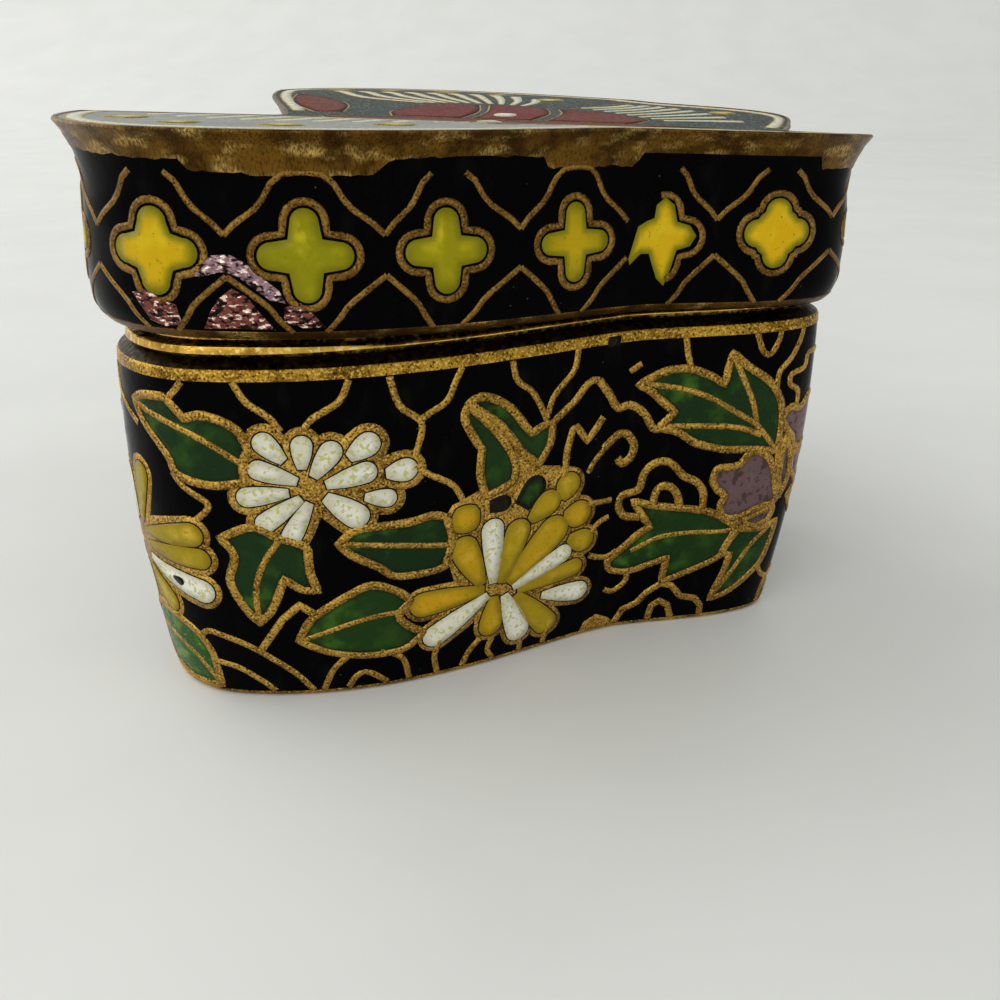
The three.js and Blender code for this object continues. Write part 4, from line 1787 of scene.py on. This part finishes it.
CORNER_FLOWER = Spray(
    leaves=(
        Leaf(
            looped(
                ((-44.2, 7.6), (-41.2, 7.5), (-38.7, 6.5), (-37.4, 4.8), (-37.1, 2.8), (-37.0, 1.0)),
                ((-40.5, 0.9), (-44.0, 1.5), (-46.0, 3.2), (-46.8, 5.4))
            ),
            (((-46.6, 5.3), (-43.0, 5.2), (-39.4, 3.8), (-37.1, 1.2)),), (-46.2, 5.0), (-39.0, 2.8), 0.4,
            glaze=Glaze.BRIGHT_LEAF
        ),
    ),
    petals=tuple(Petal(*petal) for petal in CORNER_PETALS), patches=(arc((-44.2, 13.2), 2.8, 0, 330, 11),),
    clouds=(
        ((-38.2, 21.3), (-37.3, 20.2), (-35.5, 19.0), (-35.7, 18.2), (-36.6, 17.4)),
        ((-38.0, 6.3), (-36.9, 6.8), (-34.5, 6.0), (-32.5, 4.8), (-30.0, 2.7), (-28.4, 0.6)),
        ((-37.2, 3.7), (-35.0, 3.2), (-33.0, 1.8), (-31.8, 0.6)),
        ((-27.5, 0.6), (-26.5, 2.8), (-25.0, 4.3)), ((-22.4, 4.2), (-20.5, 3.0), (-19.8, 0.6)),
        ((-25.3, 0.6), (-24.5, 1.8), (-23.5, 2.0), (-21.8, 0.6)),
        ((-17.1, 4.1), (-17.5, 2.4), (-17.2, 0.6)), ((-13.2, 3.2), (-14.2, 2.0), (-14.8, 0.6)),
        ((-11.9, 3.1), (-12.3, 1.7), (-11.7, 0.6)), ((-8.9, 1.9), (-8.9, 0.6)), ((-6.1, 2.1), (-6.4, 0.6))
    ),
    corners=(((-32.7, 5.0), (-30.5, 8.3), (-29.0, 9.7), (-27.7, 8.6)),)
)


HEAD_CENTRE = (-61.0, 16.5)


def head_petal(index: int) -> Petal:
    """One of the ten petals of the flower beside the head."""
    angle = math.radians(36 * index + 10)
    reach = 5.2 if index % 2 else 4.6
    way = (math.cos(angle), math.sin(angle))
    root = (HEAD_CENTRE[0] + 1.2 * way[0], HEAD_CENTRE[1] + 1.2 * way[1])
    tip = (HEAD_CENTRE[0] + reach * way[0], HEAD_CENTRE[1] + reach * way[1])
    return Petal(root, tip, 2.0, OCHRE if index % 3 else WHITE, 0.3)


# Plainer flowers on the front of the forewing, beside the head.
HEAD_SPRAY = Spray(
    leaves=(
        Leaf(
            looped(
                ((-53.6, 23.4), (-50.6, 24.6), (-47.4, 24.8)),
                ((-49.0, 22.2), (-52.0, 20.6), (-55.8, 20.4))
            ),
            (((-55.0, 20.9), (-51.4, 22.6), (-48.2, 24.4)),), (-55.4, 20.6), (-47.8, 24.6), 0.2
        ),
        Leaf(
            looped(
                ((-68.6, 11.4), (-71.4, 8.6), (-72.2, 5.4)), ((-68.6, 5.8), (-65.8, 8.0), (-64.8, 11.6))
            ),
            (((-65.4, 10.8), (-68.4, 8.8), (-71.6, 6.0)),), (-65.0, 11.4), (-72.0, 5.6), 0.3
        ),
        Leaf(
            looped(
                ((-55.8, 9.0), (-53.4, 6.6), (-50.6, 5.4)),
                ((-50.4, 3.6), (-53.8, 3.4), (-57.0, 5.8), (-58.4, 9.4), (-57.4, 12.2))
            ),
            (((-57.4, 11.4), (-55.4, 7.2), (-51.4, 4.4)),), (-57.4, 12.0), (-51.0, 4.6), 0.5
        ),
        Leaf(
            looped(
                ((-66.8, 23.4), (-69.6, 25.6), (-73.0, 26.2)),
                ((-72.4, 23.2), (-69.6, 20.6), (-65.6, 20.4))
            ),
            (((-66.2, 20.9), (-69.2, 23.2), (-72.4, 25.6)),), (-65.8, 20.6), (-72.8, 26.0), 0.2
        )
    ),
    petals=tuple(head_petal(index) for index in range(10)),
    rounds=(Round(HEAD_CENTRE, 2.2, 2.2, OCHRE, 0.9),), patches=(arc(HEAD_CENTRE, 2.6, 0, 330, 11),),
    clouds=(
        ((-46.0, 28.6), (-45.2, 26.6), (-43.2, 25.4), (-41.6, 24.6)),
        ((-56.0, 28.6), (-56.8, 26.4), (-58.8, 25.2), (-60.0, 23.6)),
        ((-63.4, 28.6), (-62.8, 26.2), (-60.8, 25.0), (-60.0, 23.6)),
        ((-76.8, 14.0), (-75.0, 15.8), (-72.8, 15.4), (-72.2, 13.4), (-73.6, 12.4), (-74.6, 13.2)),
        ((-68.0, 16.4), (-70.0, 17.8), (-72.4, 17.6), (-73.8, 19.2), (-76.6, 19.0)),
        ((-62.0, 0.8), (-61.2, 3.0), (-59.0, 4.2)),
        ((-68.6, 0.8), (-67.6, 2.8), (-65.6, 3.4), (-63.6, 2.6), (-62.6, 0.8)),
        ((-76.4, 0.8), (-75.4, 2.8), (-73.2, 3.4), (-71.2, 2.4), (-70.4, 0.8))
    )
)


def across_the_back(spray: Spray, about: float) -> Spray:
    """The same spray on the far side of the box.

    Args:
        spray: a spray of the near side.
        about: s of the notch that the two sides share.

    Returns:
        The mirrored spray.
    """

    def flip(spot: Point) -> Point:
        """One point on the other side."""
        return (2 * about - spot[0], spot[1])

    def turned(paths: tuple[Path, ...]) -> tuple[Path, ...]:
        """Lines on the other side."""
        return tuple(mirrored(path, about) for path in paths)

    def backed(paths: tuple[Path, ...]) -> tuple[Path, ...]:
        """Outlines on the other side, run the other way so that they face out."""
        return tuple(path[::-1] for path in turned(paths))

    return replace(
        spray,
        leaves=tuple(
            replace(
                leaf, edge=backed(leaf.edge[::-1]), ribs=turned(leaf.ribs), root=flip(leaf.root),
                tip=flip(leaf.tip)
            )
            for leaf in spray.leaves
        ),
        petals=tuple(replace(p, root=flip(p.root), tip=flip(p.tip)) for p in spray.petals),
        rounds=tuple(replace(r, centre=flip(r.centre)) for r in spray.rounds), clouds=turned(spray.clouds),
        corners=turned(spray.corners), arches=turned(spray.arches),
        blossoms=tuple((mirrored(p, about)[::-1], tint) for p, tint in spray.blossoms),
        patches=backed(spray.patches)
    )


@dataclass
class BasePattern:
    """Flower sprays round the lower half."""

    wall: BaseWall
    strip_break: Path = ((-2.2, 28.45), (-1.0, 28.5), (-0.9, 29.3), (-2.1, 29.3))

    def build(self) -> None:
        """Makes the enamel, the brass between petals and the wires."""
        tail = self.wall.outline.tail
        near = [WHITE_CHRYSANTHEMUM, OCHRE_CHRYSANTHEMUM, MAUVE_FLOWERS, CORNER_FLOWER, HEAD_SPRAY]
        sprays = near + [across_the_back(spray, tail) for spray in near]
        enameller = Enameller(self.wall)
        cells = [cell for spray in sprays for cell in spray.cells()]
        cells.append(Cell(self.strip_break, Glaze.SEAM, proud=0.1, dish=0.0))
        for obj in enameller.pieces("base", cells):
            LOG.info("%s: %d faces", obj.name, len(obj.data.polygons))
        pile = MeshPile()
        for spray in sprays:
            for path in spray.fills():
                enameller.pad(pile, Cell(path, OCHRE, proud=0.028, dish=0.0))
        settled(pile.piece("base_petal_grounds", [PALETTE.of(WIRE_BRASS)]))
        half = len(near)
        smith = WireSmith(self.wall)
        for name, chosen in (("near", sprays[:half]), ("far", sprays[half:])):
            wires = [wire for spray in chosen for wire in spray.wires()]
            smith.piece(f"base_wires_{name}", wires, PALETTE.of(WIRE_BRASS))


@dataclass
class LidBand:
    """Row of yellow quatrefoils in an ogee lattice round the lid."""

    wall: LidWall
    near_shapes: tuple[tuple[float, ...], ...] = (
        (-36.8, 6.2, 3.0, 1.0, 0.75, 1.75), (-26.7, 6.1, 3.2, 0.95, 0.0, 1.6),
        (-17.0, 6.15, 3.0, 0.92, 0.1, 1.5), (-6.5, 6.15, 2.95, 0.82, 0.5, 1.35),
        (1.8, 6.1, 2.9, 0.95, 0.85, 1.6), (11.4, 6.35, 2.8, 1.1, 0.9, 2.05)
    )
    near_points: tuple[float, ...] = (-32.0, -21.35, -11.2, -1.7, 6.25)
    smeared: float = -1.7
    spilled_at: int = 4
    spill_gap: tuple[int, int] = (19, 42)
    spilled: Path = (
        (-0.75, 2.5), (0.0, 3.1), (0.8, 2.5), (1.1, 1.2), (2.2, 0.9), (2.8, 0.1), (2.3, -0.7), (1.2, -1.0),
        (0.8, -2.4), (0.3, -3.8), (-0.4, -3.2), (-0.9, -2.1), (-1.3, -1.2), (-2.2, -1.2), (-3.2, -2.0),
        (-3.3, -1.5), (-2.5, 0.9), (-1.6, 1.3), (-0.9, 1.5)
    )
    arched: tuple[float, ...] = (-26.7, -6.5)
    pitch: float = 10.2
    middle: float = 6.2
    guard: float = 0.44

    def shapes(self) -> list[tuple[float, ...]]:
        """s, level, reach, lobe, tint and notch of every quatrefoil, once round the box."""
        outline = self.wall.outline
        row = list(self.near_shapes)
        s = row[0][0] - self.pitch
        while s > outline.head + 0.4 * self.pitch:
            row.insert(0, (s, self.middle, 2.95, 0.95, 0.5, 1.6))
            s -= self.pitch
        s = row[-1][0] + self.pitch
        while s < outline.tail - 0.3 * self.pitch:
            row.append((s, self.middle, 2.95, 0.95, 0.5, 1.6))
            s += self.pitch
        return row + [(2 * outline.tail - shape[0], *shape[1:]) for shape in reversed(row)]

    def legs(self, row: list[tuple[float, ...]]) -> list[tuple[float, float]]:
        """s of each lattice point with the s of a quatrefoil beside it, both ways."""
        outline = self.wall.outline
        known = list(self.near_points) + [2 * outline.tail - s for s in self.near_points]
        spots = [shape[0] for shape in row]
        spots.append(spots[0] + outline.perimeter)
        found = []
        for low, high in zip(spots, spots[1:]):
            inside = [s for s in known if low < s < high]
            point = inside[0] if inside else (low + high) / 2
            found += [(point, low), (point, high)]
        return found

    def build(self) -> None:
        """Makes the enamel and the wires."""
        row = self.shapes()
        cells = []
        wires = []
        for s, level, reach, lobe, tint, notch in row:
            shape = lobed_outline((s, level), reach, lobe, sweep=90, notch=notch)
            ring = lobed_outline(
                (s, level), reach + self.guard, lobe + self.guard, sweep=84, notch=notch + 0.5
            )
            if s == self.near_shapes[self.spilled_at][0]:
                shape = tuple((s + u, level + v) for u, v in self.spilled)
                gap_from, gap_to = self.spill_gap
                wires.append(Wire(ring[gap_to:] + ring[:gap_from], 0.6))
            else:
                wires.append(Wire(ring, 0.6, True))
            ends = ((s, level - 3), (s, level + 3))
            cells.append(Cell(shape, Glaze.CANARY, tint, *ends, 0.05, 0.01))
        Enameller(self.wall).pieces("lid_band", cells)
        for point, beside in self.legs(row):
            if point == self.smeared and beside > point:
                continue
            gap = beside - point
            whole = any(abs(beside - s) < 0.01 for s in self.arched)
            wires.append(Wire(self.upper_leg(point, gap, whole), 0.5))
            wires.append(Wire(self.lower_leg(point, gap), 0.5))
        WireSmith(self.wall).piece("lid_band_wires", wires, PALETTE.of(BAND_BRASS))

    @staticmethod
    def upper_leg(s: float, gap: float, whole: bool) -> Path:
        """Half of an ogee that hangs from the rim to a point; whole ones close over a quatrefoil."""
        legs = ((0.0, 7.45), (0.14, 8.2), (0.4, 9.2), (0.5, 9.8), (0.62, 10.9), (0.76, 11.5))
        if whole:
            legs += ((0.9, 11.6), (1.0, 11.6))
        return tuple((s + share * gap, level) for share, level in legs)

    @staticmethod
    def lower_leg(s: float, gap: float) -> Path:
        """Half of an ogee that rises from the lower edge to a point."""
        legs = ((0.0, 4.7), (0.2, 3.9), (0.42, 3.0), (0.52, 2.5), (0.62, 1.7), (0.78, 0.7))
        return tuple((s + share * gap, level) for share, level in legs)


@dataclass
class EnamelLoss:
    """Places near the forewing's turn where the enamel broke off the lid and bare foil shows."""

    wall: LidWall
    crumple: float = 0.16
    grain: float = 0.22
    seed: int = 11

    def patches(self) -> tuple[tuple[Path, float], ...]:
        """Outline and lilac share of each patch."""
        return (
            (
                ((-38.7, 3.2), (-37.6, 3.5), (-36.4, 2.9), (-35.6, 2.6), (-35.4, 1.2), (-36.6, 0.95),
                 (-37.6, 1.3), (-38.2, 2.4)),
                0.1
            ),
            (
                ((-33.9, 0.95), (-33.3, 2.2), (-32.6, 3.2), (-31.7, 3.9), (-30.7, 3.3), (-29.9, 2.1),
                 (-29.0, 0.95)),
                0.1
            ),
            (
                ((-34.6, 4.6), (-33.9, 5.4), (-32.9, 6.1), (-31.7, 6.2), (-30.6, 5.6), (-29.7, 4.7),
                 (-28.6, 3.8), (-28.2, 2.9), (-29.2, 3.1), (-30.2, 3.9), (-31.2, 4.7), (-32.4, 5.0),
                 (-33.5, 4.7)),
                0.85
            ),
            (((-28.3, 2.6), (-27.2, 2.9), (-26.4, 2.1), (-25.6, 1.1), (-27.2, 1.1), (-28.4, 1.6)), 0.15)
        )

    def build(self) -> Piece:
        """Makes the crumpled foil."""
        pile = MeshPile()
        random = np.random.default_rng(self.seed)
        enameller = Enameller(self.wall, self.grain, 0.1)
        for outline, lilac in self.patches():
            enameller.pad(pile, Cell(outline, WHITE, lilac, proud=0.05, dish=0.0))
            spots = pile.spots[-1]
            half = len(spots) // 2
            middle = spots[:half].mean(0)
            away = spots[:half] - spots[half:]
            away /= np.linalg.norm(away, axis=1)[:, None]
            folds = np.abs(np.sin(3.1 * spots[:half, 0] + 5.3 * spots[:half, 2] + middle[0]))
            jitter = random.uniform(0, 1, half)
            inner = np.minimum(1, pile.values["inset"][-1][:half] / 0.25)
            spots[:half] += away * (self.crumple * inner * (0.6 * folds + 0.6 * jitter - 0.35))[:, None]
        foil = pile.piece("lid_bare_foil", [PALETTE.of(BareFoil())])
        foil.data.shade_flat()
        return settled(foil)


@dataclass
class TopPattern:
    """Butterfly on the top of the lid: body, dark red eyes of the wings, pale rays and margins."""

    top: LidTop

    def build(self) -> None:
        """Makes the enamel and the wires of both wing pairs."""
        cells: list[Cell] = []
        wires: list[Wire] = []
        for side in (1.0, -1.0):
            cells += [self.sided(cell, side) for cell in self.wing_cells()]
            wires += [
                Wire(tuple((x, side * y) for x, y in wire.path), wire.width, wire.closed)
                for wire in self.wing_wires()
            ]
        body = self.body_outline()
        cells.append(Cell(body, RED_BROWN, 0.9, (-14, 0), (18, 0)))
        wires.append(Wire(body, 0.5, True))
        Enameller(self.top, 1.0).pieces("lid_top", cells)
        WireSmith(self.top, crown=0.03, step=0.5).piece("lid_top_wires", wires, PALETTE.of(WIRE_BRASS))

    @staticmethod
    def sided(cell: Cell, side: float) -> Cell:
        """A cell on one side of the body."""

        def flip(spot: Point | None) -> Point | None:
            """One point on that side."""
            return (spot[0], side * spot[1]) if spot else None

        outline = tuple((x, side * y) for x, y in cell.outline)
        if side < 0:
            outline = outline[::-1]
        return Cell(outline, cell.glaze, cell.tint, flip(cell.root), flip(cell.tip), cell.proud, cell.dish)

    @staticmethod
    def body_outline() -> Path:
        """Head, thorax and abdomen."""
        half = (
            (-19.4, 0.0), (-18.4, 1.5), (-16.6, 1.3), (-14.6, 1.2), (-11.0, 2.0), (-6.0, 2.2), (-2.0, 1.5),
            (4.0, 1.7), (12.0, 1.2), (19.6, 0.0)
        )
        upper = eased(half, 0.8)
        return upper + tuple((x, -y) for x, y in reversed(upper[1:-1]))

    @staticmethod
    def ray(root: Point, tip: Point, bend: float) -> Path:
        """A bowed line from the body towards a wing's margin."""
        middle = ((root[0] + tip[0]) / 2, (root[1] + tip[1]) / 2)
        way = (tip[0] - root[0], tip[1] - root[1])
        return eased((root, (middle[0] - bend * way[1], middle[1] + bend * way[0]), tip), 0.8)

    def rays(self) -> list[tuple[Point, Point, float]]:
        """Root, tip and bend of each ray of one wing pair."""
        made = []
        for t in np.linspace(0, 1, 10):
            root = (-12.5 + 11.0 * t, 14.6 + 1.0 * math.sin(3.1 * t))
            tip = (-25.5 + 24.5 * t, 25.0 + 4.5 * math.sin(2.2 * t) - 7.5 * t * t)
            made.append((root, tip, 0.12 - 0.2 * t))
        for t in np.linspace(0, 1, 8):
            root = (5.2 + 9.5 * t, 14.2 - 8.6 * t)
            tip = (10.5 + 13.5 * t, 18.5 - 11.5 * t * t)
            made.append((root, tip, -0.08 + 0.1 * t))
        return made

    @staticmethod
    def band(line: Path, width: float) -> Path:
        """A strip on one side of a line, narrow at its start."""
        spots = np.array(line)
        way = np.gradient(spots, axis=0)
        way /= np.linalg.norm(way, axis=1)[:, None]
        shares = width * np.linspace(0.45, 1.0, len(spots))
        beside = spots + np.stack([way[:, 1], -way[:, 0]], axis=1) * shares[:, None]
        return line + tuple((float(x), float(y)) for x, y in beside[::-1])

    def wing_cells(self) -> list[Cell]:
        """Cells of one wing pair, on the +Y side."""
        eyes = (
            (
                looped(
                    ((-13.8, 7.0), (-11.0, 13.0), (-6.0, 14.0)), ((-5.2, 8.0), (-6.0, 2.6)),
                    ((-13.0, 2.6),)
                ),
                0.1
            ),
            (
                looped(((-4.2, 8.0), (-4.8, 14.2)), ((0.6, 13.4), (2.2, 8.0), (1.0, 2.2)), ((-4.8, 2.4),)),
                0.0
            ),
            (
                looped(
                    ((3.6, 8.0), (3.0, 12.0)), ((9.0, 10.0), (13.0, 5.0)), ((11.0, 1.9),), ((2.6, 2.2),)
                ),
                0.5
            ),
            (
                looped(
                    ((-24.8, 9.0), (-27.0, 14.0), (-28.4, 20.0)),
                    ((-24.0, 17.0), (-20.0, 11.0), (-18.6, 4.4)), ((-21.4, 4.0),)
                ),
                0.8
            )
        )
        cells = [Cell(joined(*edge), RED_BROWN, tint) for edge, tint in eyes]
        cells.append(Cell(blob_outline((-2.0, 5.4), 2.4, 2.4), WHITE, 0.0, proud=0.12, dish=-0.1))
        ovals = (
            (-25.5, 28.2, 3.2), (-20.0, 31.6, 3.0), (-12.8, 31.0, 3.2), (-5.6, 27.4, 3.0),
            (1.0, 21.0, 3.2), (22.2, 13.4, 3.2)
        )
        for x, y, size in ovals:
            cells.append(Cell(blob_outline((x, y), size, 0.75 * size), Glaze.CANARY, 0.8))
        for root, tip, bend in self.rays():
            line = self.ray(root, tip, bend)
            cells.append(Cell(self.band(line, 1.1), WHITE, 0.3, root, tip, 0.045))
        margin = self.margin(1.6)
        inner = self.margin(0.6)
        cells.append(Cell(margin + inner[::-1], WHITE, 0.1, (0, 0), (10, 30), 0.04))
        return cells

    def margin(self, inset: float) -> Path:
        """A line inside the rim, from the head notch round to the tail notch."""
        outline = self.top.wall.outline
        s = np.linspace(outline.head + 5, outline.tail - 3, 90)
        foot = outline.foot(s)
        x = foot[:, 0] + foot[:, 2] * (3.4 - inset)
        y = -(foot[:, 1] + foot[:, 3] * (3.4 - inset))
        return tuple((float(a), float(b)) for a, b in zip(x, y))

    def wing_wires(self) -> list[Wire]:
        """Wires of one wing pair, on the +Y side."""
        wires = [
            Wire(cell.outline, 0.42, True) for cell in self.wing_cells()
            if cell.glaze in (RED_BROWN, Glaze.CANARY) or cell.proud > 0.1
        ]
        wires += [Wire(self.ray(root, tip, bend), 0.36) for root, tip, bend in self.rays()]
        wires += [Wire(self.margin(inset), 0.4) for inset in (0.6, 1.6)]
        wires.append(Wire(eased(((4.0, 13.2), (7.0, 16.5), (10.6, 20.2)), 0.8), 0.45))
        return wires


# ---- studio ----


@dataclass
class Studio:
    """Camera, pale table that sweeps up behind the box, and soft light."""

    eye: Triple = (12.81, -102.0, 50.54)
    yaw: float = 8.0
    pitch: float = 24.02
    roll: float = -0.34
    lens: float = 36.07

    def build(self) -> None:
        """Makes the studio."""
        scene = bpy.context.scene
        data = bpy.data.cameras.new("view")
        data.lens = self.lens
        data.sensor_width = 36.0
        data.clip_start, data.clip_end = 0.01, 20.0
        camera = shown("view", data)
        camera.location = Vector(self.eye) * MM
        turn = Euler((math.radians(90 - self.pitch), 0.0, math.radians(self.yaw)), "XYZ").to_matrix()
        turn = turn @ Euler((0.0, 0.0, math.radians(self.roll)), "XYZ").to_matrix()
        camera.rotation_euler = turn.to_euler()
        scene.camera = camera
        scene.view_settings.view_transform = "Standard"
        self.table()
        self.light("window_left", (-0.75, 0.2, 0.6), 0.9, 4.0, (1.0, 1.0, 0.99))
        self.light("front_fill", (-0.35, -0.8, 0.5), 0.8, 2.0, (1.0, 0.995, 0.97))
        world = bpy.data.worlds.new("studio_air")
        world.use_nodes = True
        air = world.node_tree.nodes["Background"]
        air.inputs["Color"].default_value = (0.98, 1.0, 0.985, 1.0)
        air.inputs["Strength"].default_value = 0.7
        scene.world = world

    def table(self) -> None:
        """Pale ground, flat under the box and curving up far behind it."""
        path = [(-1.2, 0.0), (0.5, 0.0)]
        path += [(0.5 + 0.5 * math.sin(a), 0.5 - 0.5 * math.cos(a)) for a in np.linspace(0.1, 1.5, 16)]
        path.append((1.0, 2.0))
        spots = [(x, y, z) for y, z in path for x in (-2.5, 2.5)]
        faces = [(2 * i, 2 * i + 1, 2 * i + 3, 2 * i + 2) for i in range(len(path) - 1)]
        mesh = bpy.data.meshes.new("table")
        mesh.from_pydata(spots, [], faces)
        mesh.materials.append(PaleStone().material())
        mesh.shade_smooth()
        shown("table", mesh)

    @staticmethod
    def light(name: str, spot: Triple, size: float, power: float, hue: Triple) -> None:
        """A soft square light that faces the box.

        Args:
            name: its name.
            spot: its place in metres.
            size: its side in metres.
            power: its power in watts.
            hue: its colour.
        """
        data = bpy.data.lights.new(name, "AREA")
        data.size, data.energy, data.color = size, power, hue
        lamp = shown(name, data)
        lamp.location = spot
        lamp.rotation_euler = (-Vector(spot)).to_track_quat("-Z", "Y").to_euler()


def main() -> None:
    """Builds the box's looks in order."""
    logging.basicConfig(level=logging.INFO, format="%(message)s")
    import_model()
    Studio().build()
    outline = WingOutline()
    base_wall, lid_wall = BaseWall(outline), LidWall(outline)
    BaseShell(base_wall).build()
    Collar(base_wall).build()
    LidShell(lid_wall).build()
    RimBand(lid_wall).build()
    BasePattern(base_wall).build()
    LidBand(lid_wall).build()
    EnamelLoss(lid_wall).build()
    TopPattern(LidTop(lid_wall)).build()


if __name__ == "__main__":
    main()
